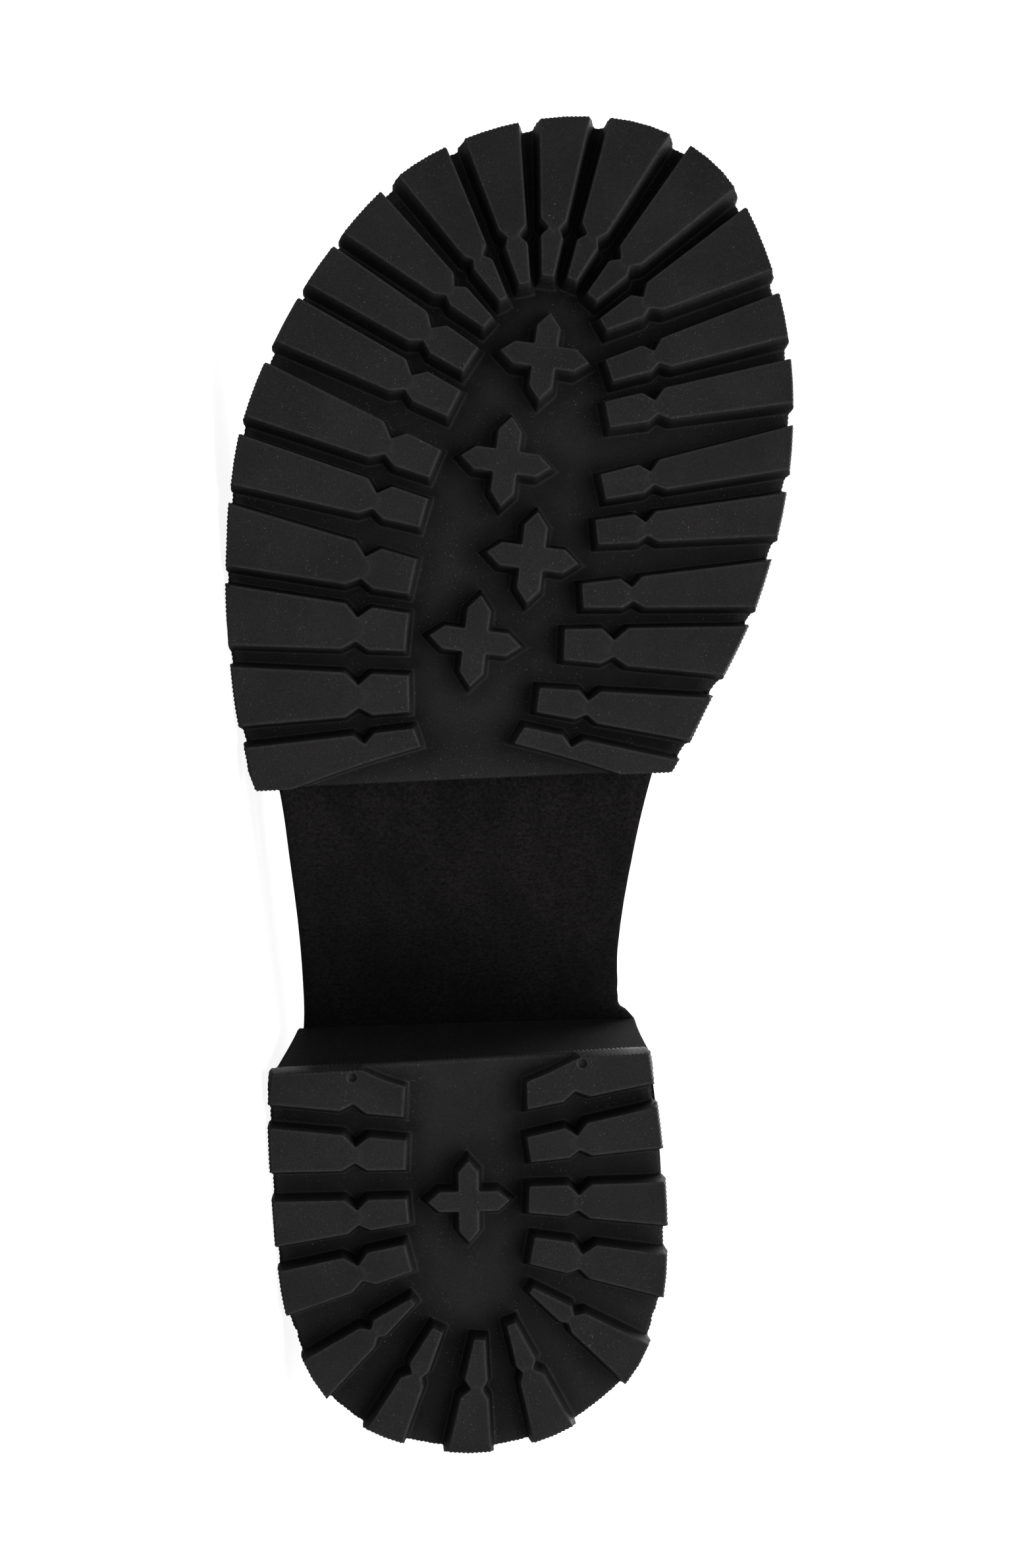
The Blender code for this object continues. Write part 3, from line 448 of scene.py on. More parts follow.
def off_line(points, edge):
    """Distance of points from the line of the unit's straight edge."""
    run = (edge[1] - edge[0]) / np.linalg.norm(edge[1] - edge[0])
    return np.abs(run[0] * (points[:, 1] - edge[0][1]) - run[1] * (points[:, 0] - edge[0][0]))


def channel_depth(points, edge):
    """Depth of the channel floor, which rises to the straight edge."""
    return RAMP_LEFT + (LUG_DEPTH - RAMP_LEFT) * smoothstep(off_line(points, edge) / RAMP)


def lug_profile(off, depth, draft):
    """Depth below the lugs' faces, at a distance from a lug's outline: edge, side and fillet."""
    edge = ROUND - np.sqrt(np.maximum(ROUND ** 2 - np.clip(off + ROUND, 0, ROUND) ** 2, 0))
    foot = np.maximum(draft * (depth - FILLET - ROUND), 0.0)
    side = ROUND + np.clip(off, 0, None) / draft
    t = np.clip((off - foot) / FILLET, 0, 1)
    fillet = depth - FILLET * (1 - np.sqrt(np.maximum(1 - (1 - t) ** 2, 0)))
    below = np.where(off <= 0, edge, np.where(off < foot, side, fillet))
    ridge = LINE * np.exp(-((off - foot - FILLET) / LINE_WIDTH) ** 2)
    return np.minimum(below, depth) - ridge


def notch_arc(ring):
    """A fine curved line between the tips of a lug's two notches, if it has two. It is drawn only
    as a painted highlight.
    """
    before, after = ring - np.roll(ring, 1, axis=0), np.roll(ring, -1, axis=0) - ring
    turn = before[:, 0] * after[:, 1] - before[:, 1] * after[:, 0]
    lengths = np.linalg.norm(before, axis=1) * np.linalg.norm(after, axis=1)
    tips = ring[turn < -NOTCH_TIP * lengths]
    if len(tips) != 2:
        return np.empty((0, 2))
    across = tips[1] - tips[0]
    bulge = np.array([across[1], -across[0]]) * ARC_BULGE
    if bulge @ (tips.mean(axis=0) - ring.mean(axis=0)) < 0:
        bulge = -bulge
    count = max(int(np.linalg.norm(across) / ARC_STEP), 4)
    t = np.linspace(0, 1, count)[1:-1, None]
    return tips[0] + across * t + bulge * 4 * t * (1 - t)


def along_border(points, border):
    """Place of each point along a closed evenly spaced ring, in steps of the ring."""
    place = np.empty(len(points))
    ahead = np.roll(border, -1, axis=0) - border
    for start in range(0, len(points), BATCH):
        part = points[start:start + BATCH]
        index = ((part[:, None] - border[None]) ** 2).sum(axis=2).argmin(axis=1)
        run = ahead[index]
        share = ((part - border[index]) * run).sum(axis=1) / (run ** 2).sum(axis=1)
        place[start:start + BATCH] = index + share
    return place


def grid_over(border, step, skew=0.0):
    """Points of a grid over the box of a ring, with its rows staggered by a skew."""
    low, high = border.min(axis=0), border.max(axis=0)
    return np.array([(x, y) for y in np.arange(low[1], high[1], step)
                     for x in np.arange(low[0] + (y * skew) % step, high[0], step)])


def rim_lean(border, normals, edge, leans):
    """How far the rim leans out at each point of the border."""
    outer_side, inner_side, at_end, straight = leans
    beside = np.where(normals[:, 0] > 0, outer_side, inner_side)
    lean = beside + (at_end - beside) * np.abs(normals[:, 1])
    reach = (border * normals).sum(axis=1)
    recess = np.max([(np.roll(border, k, axis=0) * normals).sum(axis=1) - reach
                     for k in range(-NOTCH_STEPS, NOTCH_STEPS + 1)], axis=0)
    lean += np.maximum(GAP_LEAN - lean, 0.0) * smoothstep(recess / NOTCH)
    return straight + (lean - straight) * smoothstep(off_line(border, edge) / LEAN_OVER)


def tread_lines(border, normals, lean, lugs, arcs, dimples):
    """Points of the tread's mesh, the rim first, and the edges that it has to keep."""
    count = len(border)
    points = list(border + normals * lean[:, None])
    edges = list(zip(range(count), np.roll(np.arange(count), -1)))

    def add_line(ring, keep):
        index = np.full(len(ring), -1)
        index[keep] = np.arange(len(points), len(points) + keep.sum())
        points.extend(ring[keep])
        edges.extend((a, b) for a, b in zip(index, np.roll(index, -1)) if a >= 0 and b >= 0)

    for offset in BORDER_OFFSETS:
        add_line(border + normals * offset, lean - offset > SHORT_OF_LEAN)
    lines = []
    for outline, free in lugs:
        sharp = moved_out(outline, [BEYOND if f else 0.0 for f in free])
        line = rounded(sharp, CORNER)
        lines.append(line)
        for offset in RING_OFFSETS:
            base = line if offset < SHARP_FROM else sharp
            ring = resampled(moved_out(base, [offset] * len(base)), STEP)
            add_line(ring, ring_distance(ring, border) < PAST_RIM)
    turns = np.arange(DIMPLE_SIDES) * math.tau / DIMPLE_SIDES
    for x, y in dimples:
        for radius in DIMPLE_RINGS * DIMPLE_RADIUS:
            points.extend(np.column_stack([x + radius * np.cos(turns),
                                           y + radius * np.sin(turns)]))
    for arc in arcs:
        run = arc[-1] - arc[0]
        for offset in ARC_OFFSETS:
            points.extend(arc + offset * np.array([-run[1], run[0]]) / np.linalg.norm(run))
    grid = grid_over(border, GRID_STEP, GRID_SKEW)
    clear = ring_distance(grid, border) < -GRID_FROM_RIM
    for line in lines:
        off = ring_distance(grid, line)
        clear &= (off < -GRID_IN_LUG) | (off > GRID_BESIDE_LUG)
    points += list(grid[clear])
    return points, edges


def relief(flat, lugs, depth, draft):
    """Depth below the lugs' faces, and distances from the nearest lug and the second nearest."""
    height = depth.copy()
    nearest, second = np.full(len(flat), np.inf), np.full(len(flat), np.inf)
    for outline, _ in lugs:
        off = ring_distance(flat, rounded(outline, CORNER))
        close = (off > 0) & (off < SHARP_TO)
        mitred = mitred_distance(flat[close], outline)
        off[close] += (mitred - off[close]) * smoothstep(off[close] / SHARP_FROM)
        height = np.minimum(height, lug_profile(off, depth, draft))
        second = np.minimum(second, np.maximum(nearest, off))
        nearest = np.minimum(nearest, off)
    return height, nearest, second


def line_highlight(away, fade, light):
    """How light a painted highlight along a line is, at a distance away from it."""
    return light * np.exp(-(away / fade) ** 2)


def painted_shade_share(nearest, second, rim_off):
    """Painted shade: how far the rubber is darkened, most between two lugs, less on open floor and
    at the rim.
    """
    painted_shade = 1 - OPEN_SHADE_FADE * smoothstep((nearest - OPEN_FROM) / OPEN_OVER)
    between = 1 - smoothstep((second - GAP_FROM) / GAP_OVER)
    floor = smoothstep((nearest - FOOT_FROM) / FOOT_OVER)
    painted_shade *= smoothstep(nearest / SIDE_OVER) * (
        SIDE_SHADE + (FLOOR_SHADE + GAP_SHADE * between) * floor)
    return painted_shade * (1 - RIM_SHADE_FADE * smoothstep((rim_off + RIM_BAND) / RIM_BAND))


def add_side_and_back(bm, flatten, bend, border, painted_shade):
    """The unit's side from the tread's edge up, and its back against the suede."""
    bm.verts.index_update()
    edge = loops([e for e in bm.edges if e.is_boundary])[0]
    rim = np.array([flatten(tuple(v.co))[:2] for v in edge])
    if clockwise(rim):
        edge, rim = edge[::-1], rim[::-1]
    inwards = -outward(evened(rim))
    tucked = evened(rim) + inwards * TUCK
    back = tucked + inwards * BACK_ROUND
    rings = [edge]
    for ring, z in ((rim, RIB_TOP), (tucked, RIB_TOP + TUCK_OVER), (tucked, RUBBER - BACK_ROUND),
                    (back, RUBBER)):
        rings.append([bm.verts.new(bend(x, y, z)) for x, y in ring])
        # painted shade on the side
        for vert in rings[-1]:
            vert[painted_shade] = UNIT_SIDE_SHADE
    for lower, upper in zip(rings, rings[1:]):
        for i in range(len(lower)):
            j = (i + 1) % len(lower)
            bm.faces.new((lower[i], lower[j], upper[j], upper[i]))
    grid = grid_over(border, BACK_STEP)
    grid = grid[ring_distance(grid, border) < -BACK_FROM_RIM]
    out, _, tris, origins, _, _ = delaunay_2d_cdt(
        [Vector(p) for p in [*back, *grid]], [], [list(range(len(back)))], 1, 1e-6)
    verts = []
    for p, origin in zip(out, origins):
        known = [o for o in origin if o < len(back)]
        verts.append(rings[-1][known[0]] if known else bm.verts.new(bend(p[0], p[1], RUBBER)))
    for tri in tris:
        bm.faces.new([verts[i] for i in tri])


def rubber_unit(name, node, flatten, bend, material, dimples=()):
    """A rubber unit with crisp lugs, fine mould lines at their feet and fine ribs on its side."""
    lugs, outline = read_unit(node, flatten)
    edge, straight_lean = straight_edge(outline), RIMS[node][-1]
    border = evened(evenly(outline, SIDE_STEP))
    normals = outward(evened(border, SMOOTHING))
    lean = rim_lean(border, normals, edge, RIMS[node])
    arcs = [arc for arc in (notch_arc(points) for points, _ in lugs) if len(arc)]
    points, edges = tread_lines(border, normals, lean, lugs, arcs, dimples)
    out, _, tris, _, _, _ = delaunay_2d_cdt(
        [Vector(p) for p in points], [(int(a), int(b)) for a, b in edges],
        [list(range(len(border)))], 1, 1e-4)
    flat = np.array([(p[0], p[1]) for p in out])

    rim_off = ring_distance(flat, border)
    depth = channel_depth(flat, edge)
    draft = np.full(len(flat), DRAFT)
    at_front = off_line(flat, edge) < 2 * straight_lean     # the side that leans forward
    draft += (straight_lean / depth - DRAFT) * smoothstep(rim_off / FRONT_OVER) * at_front
    height, nearest, second = relief(flat, lugs, depth, draft)
    radius = ROUND + (FLOOR_ROUND - ROUND) * smoothstep((nearest - FLOOR_FROM) / FLOOR_OVER)
    inside = np.clip(-ring_distance(flat, border + normals * lean[:, None]), 0, radius)
    height += radius - np.sqrt(radius ** 2 - (radius - inside) ** 2)

    # Painted highlights: along the lugs' upper edges, on the mould lines at their feet, round the
    # dimples, on the arcs and on the leaning lip.
    foot = draft * (depth - FILLET - ROUND) + FILLET
    highlight_at = np.maximum(line_highlight(nearest + ROUND * 0.5, EDGE_FADE, EDGE_HIGHLIGHT),
                         line_highlight(nearest - foot, FOOT_FADE, FOOT_HIGHLIGHT))
    for centre in dimples:
        r = np.hypot(*(flat - centre).T) / DIMPLE_RADIUS
        height += DIMPLE_DEPTH * np.clip(1 - r ** 2, 0, 1)
        highlight_at = np.maximum(highlight_at, line_highlight(r - PIT_RIM, PIT_FADE, PIT_HIGHLIGHT))
    for point in (point for arc in arcs for point in arc):
        r = np.hypot(*(flat - point).T)
        highlight_at = np.maximum(highlight_at, line_highlight(r, ARC_FADE, ARC_HIGHLIGHT))
    lip = smoothstep((rim_off + LIP_BAND) / (2 * LIP_BAND)) * at_front
    highlight_at = np.maximum(highlight_at, LIP_HIGHLIGHT * lip)

    place = along_border(flat, border)
    ribs = SIDE_RIB * np.cos(math.pi * place) * smoothstep((rim_off + RIB_OVER) / RIB_OVER)
    flat += outward(border)[np.round(place).astype(int) % len(border)] * ribs[:, None]

    bm = bmesh.new()
    # Each point carries its painted highlight and its painted shade.
    painted_highlight, painted_shade = bm.verts.layers.float.new("painted_highlight"), bm.verts.layers.float.new("painted_shade")
    verts = [bm.verts.new(bend(x, y, z)) for (x, y), z in zip(flat, height)]
    for vert, highlit, shade_at in zip(verts, highlight_at, painted_shade_share(nearest, second, rim_off)):
        vert[painted_highlight], vert[painted_shade] = highlit, shade_at
    for tri in tris:
        bm.faces.new([verts[i] for i in tri])
    for vert in [v for v in verts if not v.link_faces]:
        bm.verts.remove(vert)
    add_side_and_back(bm, flatten, bend, border, painted_shade)
    bmesh.ops.recalc_face_normals(bm, faces=bm.faces)
    piece = add_piece(name, bm, material, node)
    for vert in piece.data.vertices:            # pressed flat where it lies on the floor
        vert.co.z = max(vert.co.z, PRESSED * MM)
    return piece


# ------------ materials

class Shader:
    """A node material in the making."""

    def __init__(self, name, color, roughness):
        self.material = bpy.data.materials.new(name)
        self.material.use_nodes = True
        self.tree = self.material.node_tree
        self.main = self.tree.nodes["Principled BSDF"]
        self.main.inputs["Base Color"].default_value = (*color, 1)
        self.main.inputs["Roughness"].default_value = roughness
        self.place = self.add("ShaderNodeTexCoord").outputs["Object"]

    def add(self, kind, **values):
        node = self.tree.nodes.new(kind)
        for key, value in values.items():
            setattr(node, key, value)
        return node

    def link(self, source, target):
        self.tree.links.new(source, target)

    def pattern(self, kind, size, stretch=(1, 1, 1), **values):
        """A texture whose features measure a size in millimetres, stretched along the axes."""
        mapping = self.add("ShaderNodeMapping")
        mapping.inputs["Scale"].default_value = [1 / (size * MM * s) for s in stretch]
        self.link(self.place, mapping.inputs["Vector"])
        texture = self.add(kind, **values)
        texture.inputs["Scale"].default_value = 1.0
        self.link(mapping.outputs["Vector"], texture.inputs["Vector"])
        return texture

    def noise(self, size, detail=2.0, stretch=(1, 1, 1), roughness=0.5):
        noise = self.pattern("ShaderNodeTexNoise", size, stretch)
        noise.inputs["Detail"].default_value = detail
        noise.inputs["Roughness"].default_value = roughness
        return noise.outputs["Fac"]

    def cells(self, size):
        """Distance from the borders of uneven cells, as in the grain of leather."""
        cells = self.pattern("ShaderNodeTexVoronoi", size, feature="DISTANCE_TO_EDGE")
        return cells.outputs["Distance"]

    def painted(self, name):
        """A value that the mesh carries at its points."""
        return self.add("ShaderNodeAttribute", attribute_name=name).outputs["Fac"]

    def ramp(self, factor, *stops):
        """A factor turned into other values or colours, given as pairs of place and value."""
        ramp = self.add("ShaderNodeValToRGB")
        elements = ramp.color_ramp.elements
        while len(elements) < len(stops):
            elements.new(0.5)
        for element, (at, value) in zip(elements, stops):
            element.position = at
            element.color = (*value, 1) if isinstance(value, tuple) else (value, value, value, 1)
        self.link(factor, ramp.inputs["Fac"])
        return ramp.outputs["Color"]

    def feed(self, socket, value):
        """A number, a colour or another node's output into a socket."""
        if isinstance(value, bpy.types.NodeSocket):
            self.link(value, socket)
        else:
            socket.default_value = (*value, 1) if isinstance(value, tuple) else value

    def times(self, a, b):
        node = self.add("ShaderNodeMath", operation="MULTIPLY")
        self.feed(node.inputs[0], a)
        self.feed(node.inputs[1], b)
        return node.outputs["Value"]

    def mix(self, factor, a, b, blend="MIX"):
        """Colour a turned towards colour b."""
        node = self.add("ShaderNodeMix", data_type="RGBA", blend_type=blend)
        self.feed(node.inputs["Factor"], factor)
        self.feed(node.inputs[6], a)        # sockets A and B of its colour mode
        self.feed(node.inputs[7], b)
        return node.outputs[2]

    def shaded(self, color, by):
        return self.mix(1.0, color, by, "MULTIPLY")

    def bump(self, height, distance, strength=1.0, normal=None):
        """A relief of a depth in millimetres, on top of another one."""
        node = self.add("ShaderNodeBump")
        node.inputs["Distance"].default_value = distance * MM
        node.inputs["Strength"].default_value = strength
        self.link(height, node.inputs["Height"])
        if normal is not None:
            self.link(normal, node.inputs["Normal"])
        return node.outputs["Normal"]

    def finished(self, color, normal, roughness=None):
        self.link(color, self.main.inputs["Base Color"])
        self.link(normal, self.main.inputs["Normal"])
        if roughness is not None:
            self.link(roughness, self.main.inputs["Roughness"])
        return self.material


def rubber():
    """Black rubber with painted shade in the channels, painted highlights along edges, a little
    dust.
    """
    s = Shader("tread_rubber_black", (0.014, 0.0128, 0.0134), 0.6)
    s.main.inputs["Specular IOR Level"].default_value = 0.14
    dark, light = (0.0128, 0.0117, 0.0122), (0.0180, 0.0166, 0.0172)
    color = s.mix(s.ramp(s.noise(14, 3), (0.35, 0.0), (0.68, 1.0)), dark, light)
    color = s.shaded(color, s.ramp(s.noise(0.32, 2), (0.3, 0.75), (0.7, 1.3)))
    # Painted shade: the colour turned towards near black by the painted shade share.
    color = s.mix(s.times(s.painted("painted_shade"), 0.92), color, (0.0012, 0.0011, 0.0011))
    uneven = s.ramp(s.noise(0.8, 3), (0.3, 0.35), (0.65, 0.95))
    # Painted highlights, made uneven by noise.
    color = s.mix(s.times(s.painted("painted_highlight"), uneven), color, (0.050, 0.047, 0.047))
    specks = s.ramp(s.noise(0.3, 1), (0.70, 0.0), (0.75, 1.0))
    patches = s.ramp(s.noise(9, 2), (0.38, 0.15), (0.62, 1.0))
    color = s.mix(s.times(specks, patches), color, (0.09, 0.085, 0.085))
    fine = s.bump(s.noise(0.3, 3), 0.05, 0.7)
    return s.finished(color, s.bump(s.noise(4, 2), 0.15, 0.25, fine),
                      s.ramp(s.noise(6, 3), (0.3, 0.52), (0.7, 0.66)))


def suede(name, shade=1.0, gloss=0.1):
    """Black suede, uneven where its nap runs another way. The shade scales its colour; above 1 it
    is painted light.
    """
    s = Shader(name, (0.010, 0.0098, 0.0096), 0.9)
    s.main.inputs["Specular IOR Level"].default_value = gloss
    s.main.inputs["Sheen Weight"].default_value = 0.03
    s.main.inputs["Sheen Roughness"].default_value = 0.45
    s.main.inputs["Sheen Tint"].default_value = (0.5, 0.47, 0.45, 1)
    nap = s.ramp(s.noise(0.7, 4, roughness=0.85), (0.34, 0.1), (0.68, 2.1))
    tone = s.ramp(s.noise(22, 3, (1, 1, 0.35)), (0.3, 0.7), (0.7, 1.35))
    base = tuple(value * shade for value in (0.0078, 0.0069, 0.0073))
    fibres = s.bump(s.noise(0.25, 3, roughness=0.75), 0.16, 1.0)
    return s.finished(s.shaded(s.shaded(base, nap), tone),
                      s.bump(s.noise(1.1, 3), 0.16, 0.6, fibres))


def leather():
    """Black leather of the upper, with a fine grain of cells."""
    s = Shader("upper_leather_black", (0.012, 0.0115, 0.0115), 0.4)
    tone = s.mix(s.ramp(s.noise(10, 3), (0.3, 0.0), (0.7, 1.0)), (0.0095, 0.009, 0.009),
                 (0.0155, 0.0147, 0.0145))
    cells = s.cells(0.9)
    grain = s.bump(s.ramp(cells, (0.0, 0.0), (0.16, 1.0)), 0.06, 0.8)
    return s.finished(s.shaded(tone, s.ramp(cells, (0.0, 0.62), (0.12, 1.0))),
                      s.bump(s.noise(0.5, 3), 0.06, 0.5, grain),
                      s.ramp(s.noise(4, 3), (0.3, 0.34), (0.7, 0.5)))


def lining():
    """Matt dark leather of the footbed and of the upper's inside."""
    s = Shader("footbed_leather", (0.045, 0.038, 0.032), 0.55)
    tone = s.mix(s.ramp(s.noise(12, 4), (0.3, 0.0), (0.7, 1.0)), (0.034, 0.028, 0.024),
                 (0.052, 0.044, 0.037))
    cells = s.cells(0.7)
    return s.finished(s.shaded(tone, s.ramp(cells, (0.0, 0.75), (0.12, 1.0))),
                      s.bump(s.ramp(cells, (0.0, 0.0), (0.15, 1.0)), 0.04, 0.7),
                      s.ramp(s.noise(6, 3), (0.3, 0.48), (0.7, 0.62)))


def waxed_thread():
    s = Shader("thread_black", (0.02, 0.019, 0.019), 0.5)
    strands = s.ramp(s.noise(0.25, 2, roughness=0.7), (0.3, 0.55), (0.7, 1.5))
    return s.finished(s.shaded((0.021, 0.020, 0.020), strands), s.bump(s.noise(0.2, 2), 0.05, 0.8))


# ------------ wrapped body and upper

def softened(name, node, material, levels=2, width=0.8, sharp=35):
    """A CAD solid's own form, with its facets smoothed and its sharp edges rounded."""
    bm = cad_mesh(node)
    bmesh.ops.join_triangles(bm, faces=bm.faces, angle_face_threshold=0.3,
                             angle_shape_threshold=0.7)
    crease = bm.edges.layers.float.new("crease_edge")
    for edge in bm.edges:
        if edge.calc_face_angle(0.0) > math.radians(sharp):
            edge[crease] = 1.0
    piece = add_piece(name, bm, material, node)
    subdivide = piece.modifiers.new("smooth", "SUBSURF")
    subdivide.levels = subdivide.render_levels = levels
    bevel = piece.modifiers.new("edges", "BEVEL")
    bevel.width, bevel.segments = width * MM, 3
    bevel.limit_method, bevel.angle_limit = "ANGLE", math.radians(sharp)
    return piece


def applied(piece):
    """The piece's mesh with its modifiers done for good."""
    shown = piece.evaluated_get(bpy.context.evaluated_depsgraph_get())
    mesh = bpy.data.meshes.new_from_object(shown)
    piece.modifiers.clear()
    piece.data = mesh
    return mesh


def step_out_waist(piece):
    """On the inner side the waist runs straight back, then steps out to the heel seat."""
    back, across = SHOE.inverted(), SHOE.to_3x3() @ Vector((-1, 0, 0))
    along, out = zip(*WAIST_EDGE)
    for vert in applied(piece).vertices:
        x, y, _ = back @ vert.co
        if x < WAIST_FROM:
            fade = smoothstep((WAIST_FROM - x) / WAIST_OVER)
            vert.co += across * float(np.interp(y, along, out) * fade)


def outside(tree, inner, towards, facing=0.05, reach=110.0):
    """The outer face's point and normal on the way out from an inner point, or None."""
    direction = Vector(towards).normalized()
    start = Vector(inner) + direction * reach
    hit, normal, _, _ = tree.ray_cast(start, -direction, reach)
    return (hit, normal) if hit is not None and normal.dot(direction) > facing else None


def edge_row(tree, inside_y, outside_y):
    """Points a seam's width in from a cut edge of the vamp, found by halving steps along y."""
    row = []
    for angle in np.radians(VAMP_TURNS):
        towards = (math.cos(angle), 0, math.sin(angle))
        on, off = inside_y, outside_y
        if outside(tree, (AXIS_X, on, AXIS_Z), towards) is None:
            continue
        for _ in range(12):
            middle = (on + off) / 2
            found = outside(tree, (AXIS_X, middle, AXIS_Z), towards)
            on, off = (middle, off) if found else (on, middle)
        place = on + math.copysign(SEAM_IN, inside_y - outside_y)
        found = outside(tree, (AXIS_X, place, AXIS_Z), towards)
        if found and on > WING_END:
            row.append(found)
    return row


def sling_rows(tree):
    """Points along both edges of the sling's outer face."""
    low, high = [], []
    for turn in np.radians(SLING_TURNS):
        towards = (math.cos(turn), math.sin(turn), 0)
        hits = [outside(tree, (*SLING_CENTRE, z), towards, facing=0.6) for z in SLING_LEVELS]
        hits = [hit for hit in hits if hit]
        if len(hits) > 12:                          # wide enough for two rows
            in_from_edge = round(len(hits) * SLING_IN)
            low.append(hits[in_from_edge])
            high.append(hits[-in_from_edge - 1])
    return low, high


def root_rows(tree):
    """A box of stitches on each wing, over the sewn end of the sling."""
    (y0, y1), (z0, z1) = ROOT_Y, ROOT_Z
    corners = ((y0, z0), (y1, z0), (y1, z1), (y0, z1), (y0, z0))
    rows = []
    for side in (-1.0, 1.0):
        row = []
        for (ya, za), (yb, zb) in zip(corners, corners[1:]):
            for t in np.linspace(0, 1, 7)[:-1]:
                y, z = ya + (yb - ya) * t, za + (zb - za) * t
                found = outside(tree, (AXIS_X, y, z), (side, 0, 0))
                if found:
                    row.append(found)
        rows.append(row + row[:1])
    return rows


def stitches(rows):
    """Places of single stitches along rows of points: middle, direction and normal."""
    places = []
    for row in rows:
        line = np.array([point for point, _ in row])
        normals = np.array([normal for _, normal in row])
        run = np.r_[0, np.cumsum(np.linalg.norm(np.diff(line, axis=0), axis=1))]
        count = max(int(run[-1] / (STITCH + STITCH_GAP)), 1)
        at = (np.arange(count) + 0.5) * run[-1] / count

        def pick(table, at):
            return np.column_stack([np.interp(at, run, table[:, k]) for k in range(3)])

        middle, normal = pick(line, at), pick(normals, at)
        along = unit(pick(line, at + LOOK) - pick(line, at - LOOK))
        normal = unit(normal - along * (normal * along).sum(axis=1)[:, None])
        places += list(zip(middle, along, normal))
    return places


def thread_mesh(places):
    """A mesh of short rounded threads whose ends dip into the leather."""
    bm = bmesh.new()
    turns = np.arange(THREAD_SIDES) * math.tau / THREAD_SIDES
    for middle, along, normal in places:
        side = np.cross(along, normal)
        rings = []
        for t, size in THREAD_FORM:
            lift = THREAD * (THREAD_LIFT - THREAD_DIP * t * t) - THREAD_SINK
            centre = middle + along * (t * STITCH / 2) + normal * lift
            rings.append([bm.verts.new(centre + (side * math.cos(turn) + normal * math.sin(turn))
                                       * THREAD * size) for turn in turns])
        for a, b in zip(rings, rings[1:]):
            for i in range(THREAD_SIDES):
                bm.faces.new((a[i], a[i - 1], b[i - 1], b[i]))
        bm.faces.new(rings[0])
        bm.faces.new(rings[-1][::-1])
    bmesh.ops.recalc_face_normals(bm, faces=bm.faces)
    return bm


def inner_share(places, normals):
    """How much each face or vertex of the upper looks at the foot."""
    x, y, z = places.T
    centre_x = np.interp(y, (SLING_CENTRE[1], 0.0), (SLING_CENTRE[0], AXIS_X))
    inwards = np.column_stack([centre_x - x, np.maximum(y, SLING_CENTRE[1]) - y,
                               np.where(y > VAMP_END, AXIS_Z - z, 0.0)])
    return (unit(inwards) * normals).sum(axis=1)


def vectors(items, name):
    """All vectors of one property as a table."""
    table = np.empty(len(items) * 3)
    items.foreach_get(name, table)
    return table.reshape(-1, 3)


def seam_trough(places, stitched):
    """Depth of the trough that the rows of stitches pull into the leather, at each place."""
    tree = KDTree(len(stitched))
    for i, (middle, _, _) in enumerate(stitched):
        tree.insert(middle, i)
    tree.balance()
    nearest = [tree.find(place)[1] for place in places]
    middle = np.array([stitched[i][0] for i in nearest])
    along = np.array([stitched[i][1] for i in nearest])
    off = places - middle
    slide = np.clip((off * along).sum(axis=1), -STITCH, STITCH)
    off -= along * slide[:, None]
    return SEAM_DEPTH * np.exp(-(off ** 2).sum(axis=1) / SEAM_WIDTH ** 2)


def crease_depth(places):
    """Soft creases across the vamp, a little raised on both sides."""
    drop = np.zeros(len(places))
    x, y, z = places.T
    (low, over_z), (back, over_y) = CREASE_LOW, CREASE_BACK
    fade = smoothstep((z - low) / over_z) * smoothstep((y - back) / over_y)
    for middle, width, depth in CREASES:
        wave = (y - middle - CREASE_BOW * (x - AXIS_X) ** 2) / width
        ridges = CREASE_RIDGE * np.exp(-(np.abs(wave) - RIDGE_OFF) ** 2)
        drop += depth * fade * (np.exp(-wave ** 2) - ridges)
    return drop


def in_shoe(places, normals):
    """Places and normals of the row frame, turned into the shoe's frame."""
    back = np.array(SHOE.inverted())
    turn = np.array(SHOE.inverted().to_3x3().normalized())
    return places @ back[:3, :3].T + back[:3, 3], normals @ turn.T


def make_upper(leathers, thread):
    """The upper with smooth sides of two leathers, seams pulled in and creases over the vamp."""
    bm = cad_mesh("upper")
    tree = BVHTree.FromBMesh(bm)
    stitched = stitches([edge_row(tree, *BACK_EDGE), edge_row(tree, *TOE_EDGE),
                         *sling_rows(tree), *root_rows(tree)])
    piece = add_piece("upper_leather", bm, leathers[0], "upper")
    remesh = piece.modifiers.new("even", "REMESH")
    remesh.mode, remesh.voxel_size = "VOXEL", VOXEL * MM
    smooth = piece.modifiers.new("smooth", "SMOOTH")
    smooth.factor, smooth.iterations = 0.5, 7
    mesh = applied(piece)
    mesh.materials.clear()
    for material in leathers:
        mesh.materials.append(material)

    co, out = vectors(mesh.vertices, "co"), vectors(mesh.vertices, "normal")
    places, normals = in_shoe(co, out)
    outer = np.flatnonzero(inner_share(places, normals) < INNER)
    drop = np.zeros(len(co))
    drop[outer] = seam_trough(places[outer], stitched) + crease_depth(places[outer])
    faces = in_shoe(vectors(mesh.polygons, "center"), vectors(mesh.polygons, "normal"))
    inner = inner_share(*faces) > INNER
    mesh.vertices.foreach_set("co", (co - out * drop[:, None] * MM).ravel())
    mesh.polygons.foreach_set("material_index", inner.astype(int))
    mesh.polygons.foreach_set("use_smooth", np.ones(len(inner), bool))
    mesh.update()

    bm = bmesh.new()
    bm.from_mesh(mesh)
    bm.transform(SHOE.inverted())
    surface = BVHTree.FromBMesh(bm)
    bm.free()
    laid = [(np.array(surface.find_nearest(Vector(middle))[0]), along, normal)
            for middle, along, normal in stitched]
    add_piece("upper_stitching", thread_mesh(laid), thread)


